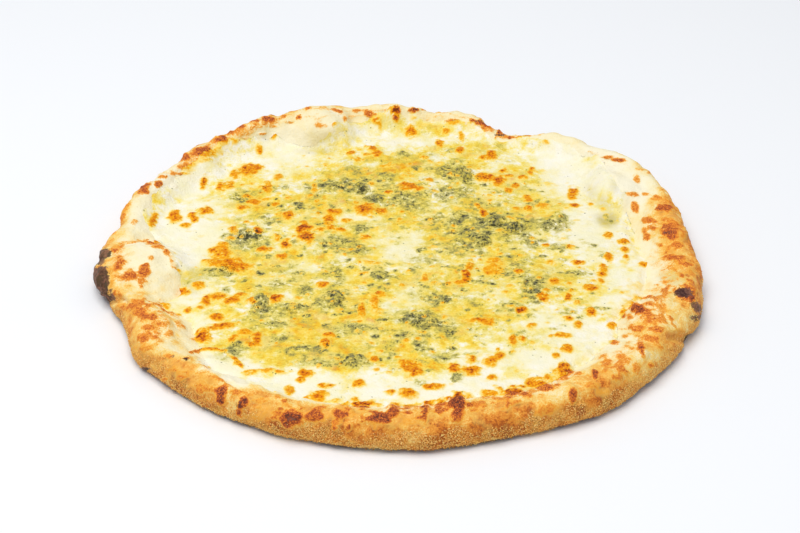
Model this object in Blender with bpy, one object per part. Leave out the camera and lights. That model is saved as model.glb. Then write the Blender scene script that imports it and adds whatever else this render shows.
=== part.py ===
"""A whole round cheese pizza, uncut and about 30 cm across.

One dough disc with a flat underside and an uneven raised rim carries a layer of melted cheese,
which fills the dish and climbs the rim, and crumbled lumps of blue cheese lie on that layer.
Metres, +Z up. The origin is on the underside, below the middle of the outline.
Angles run counter-clockwise in degrees from +X, and -Y is the near side.
"""

import math
import random

import bmesh
import bpy
from mathutils import Vector, noise
from mathutils.bvhtree import BVHTree

MM = 0.001
GAP = 0.3 * MM

# Dough
RADIUS = 150.0 * MM
RIM_HEIGHT = 16.6 * MM
RIM_TILT = 1.8 * MM  # the far rim is this much higher than the sides, and the near rim lower
FLOOR_HEIGHT = 4.0 * MM
CREST_INSET = 8.0 * MM  # from the widest line of the rim in to its crest
SLOPE_WIDTH = 15.0 * MM  # from the edge of the cheese in to the level floor
SLOPE_HOLLOWNESS = 1.35
RIM_WOBBLE = 0.9 * MM
DOUGH_WAVES = 0.7 * MM
SIDE_WOBBLE = 0.8 * MM
SIDE_LIFT = 0.5  # how much of the side's wobble also raises it
SMOOTH_FOOT = 0.3  # the side is smooth at its foot, and fully uneven from this share of its height
BUBBLE_FULLNESS = 2.5  # 2 is a plain ellipsoid, and more is flatter on top and steeper at the edge
SPOKES = 144

# Cheese
CHEESE_LEVEL = 8.2 * MM
CHEESE_SKIN = 1.0 * MM  # its thickness where it climbs the rim
CHEESE_WAVES = 0.55 * MM
SMALL_CHEESE_WAVES = 0.4 * CHEESE_WAVES
CHEESE_EDGE_WOBBLE = 1.6 * MM
LOWEST_EDGE_INSET = 2.2 * MM
SKIN_BLEND = 1.5 * MM  # over this difference of height the pool runs into the skin on the rim
SKIN_FILLET = 0.25 * SKIN_BLEND  # and fills the corner between them by this much

# Unevenness: its wavelength, and a number that makes each pattern its own. The first four run
# round the rim on a circle of radius one, and the others lie over the pizza.
NOISE_GAIN = 1.6  # brings the noise to about one at its peaks
RIM_OUTLINE_WAVE = (0.16, 3.1)
RIM_HEIGHT_WAVE = (0.12, 8.7)
CHEESE_EDGE_WAVE = (0.09, 5.5)
SIDE_WAVELENGTH = 0.05
DOUGH_WAVE = (9.0 * MM, 2.4)
CHEESE_WAVE = (26.0 * MM, 1.3)
SMALL_CHEESE_WAVE = (9.0 * MM, 6.2)

# Where the rim departs from a plain ring: angle, half width, outwards mm, upwards mm
RIM_FEATURES = (
    (4, 20, -5.0, 0.4),
    (32, 8, 1.2, 2.6),
    (48, 9, -0.8, -1.8),
    (65, 13, -9.0, -7.4),
    (82, 7, -0.8, -2.6),
    (96, 7, 1.0, 1.2),
    (111, 9, 2.6, 4.4),
    (124, 11, 2.2, 4.0),
    (139, 8, 1.0, 1.4),
    (155, 8, -1.2, 0.6),
    (171, 8, -4.2, -0.6),
    (184, 7, 0.2, -1.6),
    (203, 13, -6.2, -0.8),
    (228, 12, 0.2, 0.4),
    (266, 30, 2.4, 0.0),
    (306, 20, 3.4, 0.6),
    (335, 5, -0.6, 0.0),
    (346, 8, 0.4, 1.0),
)

# How far out the cheese reaches: angle, radius mm
CHEESE_EDGE = (
    (0, 121), (14, 119), (30, 127), (42, 138), (54, 138), (64, 131), (76, 138), (90, 140),
    (101, 136), (111, 120), (121, 137), (134, 140), (150, 137), (166, 136), (175, 126),
    (184, 112), (196, 112), (203, 126), (211, 116), (219, 124), (229, 132), (247, 133),
    (258, 131), (270, 128), (282, 126), (291, 129), (299, 131), (308, 127), (322, 124),
    (332, 117), (341, 121), (349, 122),
)

# Bubbles and folds of dough: centre X, Y, half length, half width, turn of the length, top, all mm.
# The creases between them are the same with a depth in place of the top.
LOBES = (
    (-126, -15, 22, 20, 85, 18.0),
    (-119, -69, 22, 16, 118, 17.4),
    (120, -62, 23, 17, 62, 17.8),
    (-45, 127, 19, 17, 20, 22.5),
    (114, 57, 30, 13, 112, 17.2),
    (101, -94, 19, 13, 42, 14.6),
    (26, -135, 12, 8, 10, 15.4),
    (-86, -113, 22, 9, 128, 15.2),
    (-113, 93, 19, 11, 130, 19.0),
    (135, 14, 20, 12, 95, 17.6),
)
CREASES = (
    (-134, -43, 26, 6, 20, 3.2),
    (-104, -94, 24, 6, 50, 2.4),
    (131, -26, 20, 7, 150, 1.8),
    (122, 34, 16, 5, 20, 2.2),
    (-74, 126, 16, 6, 110, 2.0),
    (-15, 136, 14, 5, 80, 1.8),
    (60, -128, 14, 5, 110, 1.4),
    (-30, -138, 14, 6, 95, 0.9),
)
HOLLOW = (108, 29, 9, 2.6)  # a pocket at the near end of the right fold: X, Y, radius, depth in mm

# Low mounds and blisters of the cheese: X, Y, half length, half width, turn, height, all mm
MOUNDS = (
    (-80, 17, 13, 11, 20, 0.9),
    (-30, 62, 19, 13, 0, 0.9),
    (31, 77, 14, 12, 60, 0.8),
    (46, 24, 22, 15, 0, 1.0),
    (-34, -40, 16, 20, 10, 0.8),
    (62, -30, 13, 20, 0, 0.8),
    (10, -62, 16, 13, 0, 0.7),
    (-4, 12, 22, 12, 30, -0.8),
    (-106, 14, 15, 20, 0, -0.9),
    (82, 14, 16, 18, 30, -0.7),
    (76, -68, 24, 14, 40, -0.7),
    (-8, 112, 20, 9, 0, 0.6),
    (-90, -73, 13, 9, 20, 1.2),
)
BLISTERS = (
    (-86, 83, 8, 5), (-94, 66, 6, 5), (-74, 60, 7, 5), (-80, 102, 8, 4), (-71, 122, 8, 4),
    (-103, 38, 7, 5), (-58, 36, 5, 4), (-47, 13, 7, 6), (-36, 36, 7, 5), (-18, 40, 7, 5),
    (-15, 104, 8, 5), (6, 64, 8, 5), (48, 72, 9, 6), (67, 78, 8, 5), (90, 54, 7, 5),
    (50, 98, 7, 5), (33, 104, 6, 4), (8, 124, 7, 5), (-84, 0, 9, 6), (-82, -42, 9, 5),
    (-58, -42, 6, 5), (-12, -45, 7, 5), (-69, -75, 8, 5), (-40, -104, 7, 4), (-34, -118, 8, 5),
    (6, -98, 7, 6), (28, -100, 9, 4), (42, -91, 7, 5), (2, -117, 8, 4), (38, -59, 8, 4),
    (34, -18, 7, 5), (46, -13, 8, 6), (92, -32, 7, 4), (68, -41, 6, 4), (104, -3, 6, 5),
    (74, -84, 6, 5), (75, 3, 6, 4), (-66, 72, 6, 5),
)
BLISTER_HEIGHT = 1.0

# Lumps of blue cheese: X, Y, half length, half width, turn, height, all mm
BLUE_LUMPS = (
    (-78, 17, 7.0, 5.5, 10, 2.6),
    (-22, 66, 6.0, 5.0, 80, 2.4),
    (-35, 66, 5.5, 4.5, 15, 2.0),
    (-15, 54, 5.0, 4.0, 0, 2.2),
    (31, 81, 6.5, 5.0, 120, 2.2),
    (57, 25, 6.5, 5.0, 30, 2.6),
    (46, 31, 6.0, 5.0, 0, 2.0),
    (77, 28, 6.0, 4.5, 0, 2.2),
    (40, 12, 5.0, 4.0, 40, 2.0),
    (-86, -16, 6.0, 4.5, 90, 2.6),
    (-67, -46, 7.5, 4.0, 86, 2.4),
    (-50, -50, 6.0, 4.0, 10, 2.0),
    (-33, -41, 6.5, 5.0, 70, 2.2),
    (62, -31, 6.0, 4.5, 100, 2.2),
    (10, -63, 6.5, 5.0, 20, 2.2),
    (-22, -94, 6.0, 4.5, 0, 2.0),
)
LUMP_SEED = 16
LUMP_PATTERNS = 50.0
LUMP_SEGMENTS = 12
LUMP_RINGS = 6
LUMP_OUTLINE_ROUGHNESS = 0.34
LUMP_OUTLINE_GRAIN = 2.1
LUMP_TOP_ROUGHNESS = 0.75
LUMP_TOP_GRAIN = 2.9


def bell(distance, half_width):
    """One at the middle of a feature, easing to nothing at its half width and beyond."""
    share = min(abs(distance) / half_width, 1.0)
    return (1.0 - share * share) ** 2


def ease(share):
    """Nothing below zero, one above one, and level at both ends."""
    share = min(max(share, 0.0), 1.0)
    return share * share * (3.0 - 2.0 * share)


def turn_between(angle, other):
    """Degrees from one direction to another, the short way round."""
    return (angle - other + 180.0) % 360.0 - 180.0


def round_the_rim(stations, angle):
    """A value at an angle, eased from each station of a closed list to the next."""
    for index, (start, value) in enumerate(stations):
        end, next_value = stations[(index + 1) % len(stations)]
        span = (end - start) % 360.0
        passed = (angle - start) % 360.0
        if passed < span:
            return value + (next_value - value) * ease(passed / span)
    return stations[0][1]


def wobble(x, y, wave):
    """Smooth unevenness between about minus one and one."""
    wavelength, pattern = wave
    return NOISE_GAIN * noise.noise(Vector((x / wavelength, y / wavelength, pattern)))


def angle_of(x, y):
    return math.degrees(math.atan2(y, x)) % 360.0


def rim_radius(angle):
    """Radius of the rim's widest line."""
    x = math.cos(math.radians(angle))
    y = math.sin(math.radians(angle))
    radius = RADIUS + RIM_WOBBLE * wobble(x, y, RIM_OUTLINE_WAVE)
    for middle, half_width, outwards, _ in RIM_FEATURES:
        radius += outwards * MM * bell(turn_between(angle, middle), half_width)
    return radius


def rim_height(angle):
    """Height of the crest."""
    x = math.cos(math.radians(angle))
    y = math.sin(math.radians(angle))
    height = RIM_HEIGHT + RIM_TILT * y + RIM_WOBBLE * wobble(x, y, RIM_HEIGHT_WAVE)
    for middle, half_width, _, upwards in RIM_FEATURES:
        height += upwards * MM * bell(turn_between(angle, middle), half_width)
    return height


def cheese_edge(angle):
    """Radius of the cheese's edge, held a little inside the crest."""
    x = math.cos(math.radians(angle))
    y = math.sin(math.radians(angle))
    edge = MM * round_the_rim(CHEESE_EDGE, angle)
    edge += CHEESE_EDGE_WOBBLE * wobble(x, y, CHEESE_EDGE_WAVE)
    return min(edge, rim_radius(angle) - CREST_INSET - LOWEST_EDGE_INSET)


def across(x, y, feature):
    """Distance from a long feature's centre in half lengths and half widths, one at its edge."""
    middle_x, middle_y, half_length, half_width, turn = (
        feature[0] * MM,
        feature[1] * MM,
        feature[2] * MM,
        feature[3] * MM,
        math.radians(feature[4]),
    )
    dx = x - middle_x
    dy = y - middle_y
    along = dx * math.cos(turn) + dy * math.sin(turn)
    aside = dy * math.cos(turn) - dx * math.sin(turn)
    return math.hypot(along / half_length, aside / half_width)


def dough_top(x, y):
    """Height of the dough inside its crest: floor, inner slope, bubbles and folds."""
    angle = angle_of(x, y)
    radius = math.hypot(x, y)
    crest = rim_radius(angle) - CREST_INSET
    foot = cheese_edge(angle) - SLOPE_WIDTH
    share = (radius - foot) / (crest - foot)
    rise = max(share, 0.0) ** SLOPE_HOLLOWNESS
    height = FLOOR_HEIGHT + (rim_height(angle) - FLOOR_HEIGHT) * ease(rise)
    for crease in CREASES:
        height -= crease[5] * MM * bell(across(x, y, crease), 1.0)
    for lobe in LOBES:
        distance = across(x, y, lobe)
        if distance < 1.0:
            rise = (1.0 - distance**BUBBLE_FULLNESS) ** 0.5
            dome = FLOOR_HEIGHT + (lobe[5] * MM - FLOOR_HEIGHT) * rise
            height = max(height, dome)
    hollow_x, hollow_y, hollow_radius, hollow_depth = (value * MM for value in HOLLOW)
    height -= hollow_depth * bell(math.hypot(x - hollow_x, y - hollow_y), hollow_radius)
    uneven = ease(2.0 * radius / foot - 1.0)
    return max(height + DOUGH_WAVES * uneven * wobble(x, y, DOUGH_WAVE), FLOOR_HEIGHT)


def cheese_top(x, y):
    """Height of the cheese: a wavy pool with mounds and blisters, and a skin up the rim."""
    height = CHEESE_LEVEL + CHEESE_WAVES * wobble(x, y, CHEESE_WAVE)
    height += SMALL_CHEESE_WAVES * wobble(x, y, SMALL_CHEESE_WAVE)
    for mound in MOUNDS:
        height += mound[5] * MM * bell(across(x, y, mound), 1.0)
    for blister_x, blister_y, half_length, half_width in BLISTERS:
        blister = (blister_x, blister_y, half_length, half_width, 0.0)
        height += BLISTER_HEIGHT * MM * bell(across(x, y, blister), 1.0)
    skin = dough_top(x, y) + GAP + CHEESE_SKIN
    return max(height, skin) + SKIN_FILLET * bell(height - skin, SKIN_BLEND)


def new_object(name, mesh_builder, collection, material):
    """An object whose mesh comes from a bmesh, with its normals outwards and shaded smooth."""
    bmesh.ops.recalc_face_normals(mesh_builder, faces=mesh_builder.faces)
    mesh = bpy.data.meshes.new(name)
    mesh_builder.to_mesh(mesh)
    mesh_builder.free()
    mesh.shade_smooth()
    mesh.materials.append(material)
    obj = bpy.data.objects.new(name, mesh)
    collection.objects.link(obj)
    return obj


def new_material(name, colour, roughness):
    material = bpy.data.materials.new(name)
    material.use_nodes = True
    shader = material.node_tree.nodes["Principled BSDF"]
    shader.inputs["Base Color"].default_value = (*colour, 1.0)
    shader.inputs["Roughness"].default_value = roughness
    shader.inputs["Metallic"].default_value = 0.0
    return material


def turned_shell(ring_rules):
    """A closed shell of rings, turned as one line about Z and then set in place ring by ring.

    Each rule takes an angle and gives a radius and a height. The first and last ring close on a
    point at the middle.
    """
    shell = bmesh.new()
    line = [shell.verts.new((index + 1.0, 0.0, 0.0)) for index in range(len(ring_rules))]
    edges = [shell.edges.new(pair) for pair in zip(line, line[1:])]
    bmesh.ops.spin(
        shell,
        geom=line + edges,
        cent=(0.0, 0.0, 0.0),
        axis=(0.0, 0.0, 1.0),
        angle=math.tau,
        steps=SPOKES,
        use_merge=True,
    )
    ends = {0: [], len(ring_rules) - 1: []}
    for vert in shell.verts:
        ring = round(math.hypot(vert.co.x, vert.co.y)) - 1
        angle = angle_of(vert.co.x, vert.co.y)
        radius, height = ring_rules[ring](angle)
        direction = math.radians(angle)
        vert.co = (radius * math.cos(direction), radius * math.sin(direction), height)
        if ring in ends:
            ends[ring].append(vert)
    for ring_verts in ends.values():
        close_on_middle(shell, ring_verts)
    bmesh.ops.triangulate(shell, faces=shell.faces, quad_method="SHORT_EDGE")
    return shell


def close_on_middle(shell, ring_verts):
    """Fans the inside of a ring round one new point at its middle."""
    inside = set(ring_verts)
    rim_edges = [edge for edge in shell.edges if inside.issuperset(edge.verts)]
    grown = bmesh.ops.extrude_edge_only(shell, edges=rim_edges)["geom"]
    new_verts = [item for item in grown if isinstance(item, bmesh.types.BMVert)]
    height = sum(vert.co.z for vert in ring_verts) / len(ring_verts)
    bmesh.ops.pointmerge(shell, verts=new_verts, merge_co=(0.0, 0.0, height))


def flat_ring(share, height):
    """A level ring at a share of the rim's radius."""
    return lambda angle: (share * rim_radius(angle), height)


def side_ring(inset, height_share):
    """A ring on the rim's outer side, with the unevenness of hand-stretched dough."""

    def rule(angle):
        x = math.cos(math.radians(angle))
        y = math.sin(math.radians(angle))
        rough = SIDE_WOBBLE * wobble(x, y, (SIDE_WAVELENGTH, 10.0 * height_share))
        free = ease(height_share / SMOOTH_FOOT)
        radius = rim_radius(angle) - inset + rough * free
        return radius, height_share * rim_height(angle) + SIDE_LIFT * rough * free

    return rule


def crest_to_edge_ring(share):
    """A ring on the dough between the crest and the edge of the cheese."""

    def rule(angle):
        crest = rim_radius(angle) - CREST_INSET
        radius = crest + share * (cheese_edge(angle) - crest)
        return radius, top_at(angle, radius)

    return rule


def edge_radius(angle, share):
    """A radius between the edge of the cheese and the foot of the slope under it."""
    return cheese_edge(angle) - share * SLOPE_REACH * SLOPE_WIDTH


def top_at(angle, radius):
    direction = math.radians(angle)
    return dough_top(radius * math.cos(direction), radius * math.sin(direction))


def slope_ring(share, above):
    """A ring on the inner slope, or the same ring of the cheese at a height above it."""

    def rule(angle):
        radius = edge_radius(angle, share)
        return radius, top_at(angle, radius) + above

    return rule


def cheese_at(angle, radius):
    direction = math.radians(angle)
    return cheese_top(radius * math.cos(direction), radius * math.sin(direction))


def skin_ring(share):
    """A ring of the cheese's top, straight over the slope ring of the same share."""

    def rule(angle):
        radius = edge_radius(angle, share) - EDGE_ROUNDING * (1.0 - share)
        return radius, cheese_at(angle, radius)

    return rule


def pool_ring(share):
    """A ring of the cheese's top, at a share of the radius where the slope under it ends."""

    def rule(angle):
        radius = share * edge_radius(angle, 1.0)
        return radius, cheese_at(angle, radius)

    return rule


# Outer side of the rim from the underside up: inset from the widest line mm, share of the height
SIDE_PROFILE = ((1.6, 0.04), (0.5, 0.2), (0.0, 0.42), (0.6, 0.62), (2.4, 0.81), (5.0, 0.95))
UNDERSIDE_SHARES = (0.6, 0.975)
CREST_SHARES = (0.0, 0.33, 0.66)
SLOPE_SHARES = (0.0, 0.2, 0.42, 0.68, 1.0)
SLOPE_REACH = 1.05  # the rings run this share of the slope's width, just past its foot
FLOOR_SHARE = 0.45
POOL_RINGS = 13
EDGE_ROUNDING = 0.5 * MM
REST_ANGLES = range(0, 360, 30)
REST_SHARES = (0.0, 0.6, 1.15)  # of a lump's half length, so also just outside it
CAST_FROM = 0.1
NO_HEIGHT = 1e-7


def make_crust(collection):
    """The dough: underside, rounded outer side, crest, inner slope and level floor."""
    rules = [flat_ring(share, 0.0) for share in UNDERSIDE_SHARES]
    rules += [side_ring(inset * MM, height_share) for inset, height_share in SIDE_PROFILE]
    rules += [crest_to_edge_ring(share) for share in CREST_SHARES]
    rules += [slope_ring(share, 0.0) for share in SLOPE_SHARES]
    rules += [flat_ring(FLOOR_SHARE, FLOOR_HEIGHT)]
    material = new_material("baked_dough", (0.72, 0.47, 0.22), 0.75)
    return new_object("crust", turned_shell(rules), collection, material)


def make_cheese(collection):
    """The melted layer: its underside follows the dough, and its top waves and blisters."""
    rules = [flat_ring(FLOOR_SHARE, FLOOR_HEIGHT + GAP)]
    rules += [slope_ring(share, GAP) for share in reversed(SLOPE_SHARES)]
    rules += [skin_ring(share) for share in SLOPE_SHARES]
    rules += [pool_ring(1.0 - step / POOL_RINGS) for step in range(1, POOL_RINGS)]
    material = new_material("melted_cheese", (0.90, 0.78, 0.42), 0.4)
    return new_object("melted_cheese", turned_shell(rules), collection, material)


def highest_under(tree, lump):
    """The highest point of the cheese below a lump's outline."""
    heights = []
    for angle in REST_ANGLES:
        for share in REST_SHARES:
            x = MM * (lump[0] + share * lump[2] * math.cos(math.radians(angle)))
            y = MM * (lump[1] + share * lump[2] * math.sin(math.radians(angle)))
            hit = tree.ray_cast(Vector((x, y, CAST_FROM)), Vector((0.0, 0.0, -1.0)))[0]
            heights.append(hit.z)
    return max(heights)


def make_blue_lumps(collection, cheese):
    """Crumbled lumps with a flat underside, a crumbly top and an uneven outline."""
    material = new_material("blue_cheese", (0.34, 0.38, 0.28), 0.6)
    draw = random.Random(LUMP_SEED)
    tree = BVHTree.FromPolygons(
        [vert.co for vert in cheese.data.vertices],
        [face.vertices for face in cheese.data.polygons],
    )
    for index, lump in enumerate(BLUE_LUMPS):
        pattern = draw.uniform(0.0, LUMP_PATTERNS)
        rest = highest_under(tree, lump) + GAP
        turn = math.radians(lump[4])
        shape = bmesh.new()
        bmesh.ops.create_uvsphere(
            shape, u_segments=LUMP_SEGMENTS, v_segments=LUMP_RINGS, radius=1.0
        )
        for vert in shape.verts:
            grain = noise.noise(vert.co * LUMP_OUTLINE_GRAIN + Vector((pattern, 0.0, 0.0)))
            rough = 1.0 + LUMP_OUTLINE_ROUGHNESS * grain
            along = vert.co.x * rough * lump[2] * MM
            aside = vert.co.y * rough * lump[3] * MM
            crumb = noise.noise(vert.co * LUMP_TOP_GRAIN + Vector((0.0, pattern, 0.0)))
            lift = max(vert.co.z, 0.0) * (1.0 + LUMP_TOP_ROUGHNESS * crumb) * lump[5] * MM
            vert.co = (
                lump[0] * MM + along * math.cos(turn) - aside * math.sin(turn),
                lump[1] * MM + along * math.sin(turn) + aside * math.cos(turn),
                rest + lift,
            )
        flatten_underside(shape, rest)
        new_object(f"blue_cheese_{index + 1:02d}", shape, collection, material)


def flatten_underside(shape, rest):
    """Leaves one flat face under a lump in place of the pressed lower half of its sphere."""
    below = {vert for vert in shape.verts if vert.co.z <= rest + NO_HEIGHT}
    inner = [
        vert
        for vert in below
        if all(edge.other_vert(vert) in below for edge in vert.link_edges)
    ]
    bmesh.ops.delete(shape, geom=inner, context="VERTS")
    open_edges = [edge for edge in shape.edges if edge.is_boundary]
    bmesh.ops.contextual_create(shape, geom=open_edges)


def centre_on_outline(objects):
    """Moves the meshes so that the origin is below the middle of the whole outline."""
    points = [vert.co for obj in objects for vert in obj.data.vertices]
    middle_x = (min(point.x for point in points) + max(point.x for point in points)) / 2.0
    middle_y = (min(point.y for point in points) + max(point.y for point in points)) / 2.0
    for obj in objects:
        for vert in obj.data.vertices:
            vert.co.x -= middle_x
            vert.co.y -= middle_y


for leftover in list(bpy.data.objects):
    bpy.data.objects.remove(leftover, do_unlink=True)

pizza = bpy.data.collections.new("cheese_pizza")
bpy.context.scene.collection.children.link(pizza)
make_crust(pizza)
melted = make_cheese(pizza)
make_blue_lumps(pizza, melted)
centre_on_outline(list(pizza.objects))
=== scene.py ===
"""The finish of a whole cheese pizza: baked dough, melted cheese and crumbled blue cheese.

Lengths are in metres unless a comment says mm. A place on the pizza is given as (across, away) in
mm on the level of the cheese: a point of the surface has the place where the photo's line of sight
through it meets that level.
"""

import math

import bmesh
import bpy
import numpy as np
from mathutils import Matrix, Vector
from mathutils.bvhtree import BVHTree


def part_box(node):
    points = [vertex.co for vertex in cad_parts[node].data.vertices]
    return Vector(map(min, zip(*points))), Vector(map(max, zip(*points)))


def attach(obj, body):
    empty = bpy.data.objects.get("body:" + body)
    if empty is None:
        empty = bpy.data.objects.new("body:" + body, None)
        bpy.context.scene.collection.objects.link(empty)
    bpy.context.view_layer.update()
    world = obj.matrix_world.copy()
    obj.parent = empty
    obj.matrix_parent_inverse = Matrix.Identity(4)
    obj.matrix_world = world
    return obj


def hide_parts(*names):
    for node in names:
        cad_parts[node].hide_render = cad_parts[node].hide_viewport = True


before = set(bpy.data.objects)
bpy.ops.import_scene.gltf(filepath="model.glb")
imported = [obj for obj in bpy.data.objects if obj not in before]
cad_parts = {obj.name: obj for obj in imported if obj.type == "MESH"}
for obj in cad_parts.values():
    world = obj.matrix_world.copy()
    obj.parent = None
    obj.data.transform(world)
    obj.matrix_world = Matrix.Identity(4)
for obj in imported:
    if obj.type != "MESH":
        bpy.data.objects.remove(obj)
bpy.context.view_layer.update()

# The dough. One disc of wheat dough, stretched by hand and baked on a hot stone: an uneven rim with
# bubbles and folds, golden on top, toasted where it stood proud, and gritty with semolina outside.

MM = 0.001
SPOKES = 1080
RIM_RINGS = 36  # over the rim's section, and again down its inner slope
RIM_TILTS = (-76.0, 90.0)  # degrees, from the foot of the side to the crest
CORE_INSET = 11 * MM  # the middle of the rim's section, in from its outer side
CORE_HEIGHT = 6 * MM
CORE_EASING = 60  # passes of smoothing round the pizza
SKIN_EASING = (18, 3)  # passes along each ring, and from ring to ring
SIDE_HEIGHT = 6.5 * MM  # where the rim's outer side is measured
UNDER_CHEESE = 7 * MM  # how far the fine skin of the dough goes on below the cheese
CAST_FROM = 60 * MM  # rays from above start at this height
CAST_OUTSIDE = 250 * MM  # rays at the outer side start at this radius
CAST_OFF = 50 * MM  # rays at the rim's skin start this far from the middle of its section
UNDER_RINGS = (0.1, 0.35, 0.6, 0.8, 0.92, 0.975)  # shares of the foot's radius
MIDDLE_RINGS = (0.9, 0.5, 0.1)  # shares of the innermost skin ring's radius
MIDDLE_HEIGHT = 4 * MM  # of the dough's top where the cheese hides it
DOUGH_RELIEF = ((0.42, 12, 1), (0.30, 5.5, 2), (0.15, 2.7, 3), (0.07, 1.4, 4))  # height, size, seed
TOAST_RISE = 0.9  # mm, as toasted places stand proud
CREASE_DEEPER = 1.2  # mm
SHOWN_FROM = (85 * MM, 10 * MM)  # the fine relief starts at this radius, over this width
TOP_HEIGHT = 22.9 * MM  # the relief never rises above this
SIGHT_LEVEL = 9 * MM  # the level of the cheese, on which places are given
EYE_RISE = math.radians(31.65)  # of the photo's camera above the table
EYE_DISTANCE = 0.9
AIM = Vector((0.0, 0.0022, 0.0))
EYE = AIM + EYE_DISTANCE * Vector((0.0, -math.cos(EYE_RISE), math.sin(EYE_RISE)))


def surface_of(mesh):
    """The surface of a mesh, to be found by rays."""
    points = [vert.co for vert in mesh.vertices]
    return BVHTree.FromPolygons(points, [face.vertices for face in mesh.polygons])


def heights_on(tree, across, away):
    """The height where a ray from above meets a surface, or nan where it misses."""
    down = Vector((0.0, 0.0, -1.0))
    heights = np.full(len(across), np.nan)
    for index, (x, y) in enumerate(zip(across.tolist(), away.tolist())):
        hit = tree.ray_cast(Vector((x, y, CAST_FROM)), down)[0]
        if hit is not None:
            heights[index] = hit.z
    return heights


def softened(grid, axis):
    """A grid smoothed once along an axis, which closes on itself."""
    return (np.roll(grid, 1, axis) + 2 * grid + np.roll(grid, -1, axis)) / 4


def eased(grid, along, rings):
    """A grid of rings smoothed: along each ring, which closes, and from ring to ring."""
    for _ in range(along):
        grid = softened(grid, 1)
    for _ in range(rings):
        padded = np.pad(grid, ((1, 1), (0, 0)), mode="edge")
        grid = (padded[:-2] + 2 * padded[1:-1] + padded[2:]) / 4
    return grid


def ease(share):
    """A share held from 0 to 1 that starts and ends gently."""
    share = np.clip(share, 0.0, 1.0)
    return share * share * (3 - 2 * share)


def lumps(points, size, seed):
    """Soft random lumps from -1 to 1, each about a size in mm across, in space."""
    count, far_off = 32, 500.0  # the table's side, and a shift that keeps every place above zero
    table = np.random.default_rng(seed).uniform(-1, 1, (count, count, count))
    turn = np.array([[0.80, 0.36, -0.48], [-0.60, 0.48, -0.64], [0.0, 0.80, 0.60]])
    place = points @ turn.T / (size * MM) + far_off
    low = np.floor(place).astype(int)
    part = place - low
    part = part * part * (3 - 2 * part)
    total = np.zeros(len(points))
    for corner in range(8):
        step = np.array([corner & 1, corner >> 1 & 1, corner >> 2 & 1])
        weight = np.prod(np.where(step, part, 1 - part), axis=1)
        i, j, k = ((low + step) % count).T
        total += weight * table[i, j, k]
    return 1.5 * total


def layered(points, *sets):
    """Lumps of several sizes added: height, size in mm and seed of each set."""
    return sum(height * lumps(points, size, seed) for height, size, seed in sets)


def rough(points, size, seed):
    """Lumps with two finer sets on top."""
    return layered(points, (0.6, size, seed), (0.3, size / 2, seed + 1), (0.15, size / 4, seed + 2))


def sight_places(points):
    """Where each point lies on the level of the cheese along the line of sight, in mm."""
    share = (SIGHT_LEVEL - EYE.z) / (points[:, 2] - EYE.z)
    across = EYE.x + (points[:, 0] - EYE.x) * share
    away = EYE.y + (points[:, 1] - EYE.y) * share
    return np.column_stack((across, away)) / MM


def spots(places, marks, ragged, soft):
    """How strongly each place lies in oval marks: across, away, width, depth and maybe strength.

    It is the strength, or else 1, inside a mark and falls to nothing over a soft share of its size.
    Ragged is an unevenness of the outline for each place.
    """
    strength = np.zeros(len(places))
    for mark in marks:
        across, away, width, depth = mark[:4]
        most = mark[4] if len(mark) > 4 else 1.0
        reach = max(width, depth) * (0.75 + soft)
        near = np.flatnonzero(
            (abs(places[:, 0] - across) < reach) & (abs(places[:, 1] - away) < reach)
        )
        dx = (places[near, 0] - across) * 2 / width
        dy = (places[near, 1] - away) * 2 / depth
        distance = np.hypot(dx, dy) + ragged[near]
        value = most * ease((1 + soft - distance) / (2 * soft))
        strength[near] = np.maximum(strength[near], value)
    return strength


def srgb(red, green, blue):
    """A colour given as it shows on a screen, from 0 to 255, as the shaders take it."""
    shown = np.array((red, green, blue)) / 255
    linear = np.where(shown <= 0.04045, shown / 12.92, ((shown + 0.055) / 1.055) ** 2.4)
    return (*linear.tolist(), 1.0)


def lay_on(mesh, **fields):
    """Lays values from nothing up on the points of a mesh, each under its name."""
    for name, values in fields.items():
        layer = mesh.attributes.new(name, "FLOAT", "POINT")
        layer.data.foreach_set("value", np.maximum(values, 0).astype(np.float32))


def read(items, name, width=1):
    """The values of the items of a mesh: one each, or one row each."""
    flat = np.empty(len(items) * width, np.float32)
    items.foreach_get(name, flat)
    return flat if width == 1 else flat.reshape(-1, width).astype(float)


def set_points(mesh, points):
    mesh.vertices.foreach_set("co", points.astype(np.float32).ravel())
    mesh.update()


def points_of(mesh):
    return read(mesh.vertices, "co", 3)


def normals_of(mesh):
    return read(mesh.vertex_normals, "vector", 3)


def add_object(name, data):
    thing = bpy.data.objects.new(name, data)
    bpy.context.scene.collection.objects.link(thing)
    return thing


def new_piece(name, mesh, material, slot, *nodes):
    """A piece in the scene, shaded smooth, riding with the pizza and standing for its solids."""
    mesh.name = name
    mesh.shade_smooth()
    mesh.materials.append(material)
    piece = add_object(name, mesh)
    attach(piece, "root")
    if nodes:
        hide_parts(*nodes)
    return piece


def next_ring(shape, edges):
    """Extrudes a ring of edges and returns the new points and the new ring of edges."""
    grown = bmesh.ops.extrude_edge_only(shape, edges=edges)["geom"]
    fresh = [item for item in grown if isinstance(item, bmesh.types.BMVert)]
    own = set(fresh)
    edges = [item for item in grown if isinstance(item, bmesh.types.BMEdge)]
    return fresh, [edge for edge in edges if own.issuperset(edge.verts)]


def close_ring(shape, edges):
    """Fans the inside of a ring round one new point."""
    fresh = next_ring(shape, edges)[0]
    middle = sum((vert.co for vert in fresh), Vector()) / len(fresh)
    bmesh.ops.pointmerge(shape, verts=fresh, merge_co=middle)


def spoke_of(across, away):
    """The number of the spoke that lies nearest to each point, all round the pizza."""
    return np.round(np.arctan2(away, across) * SPOKES / math.tau).astype(int) % SPOKES


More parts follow.
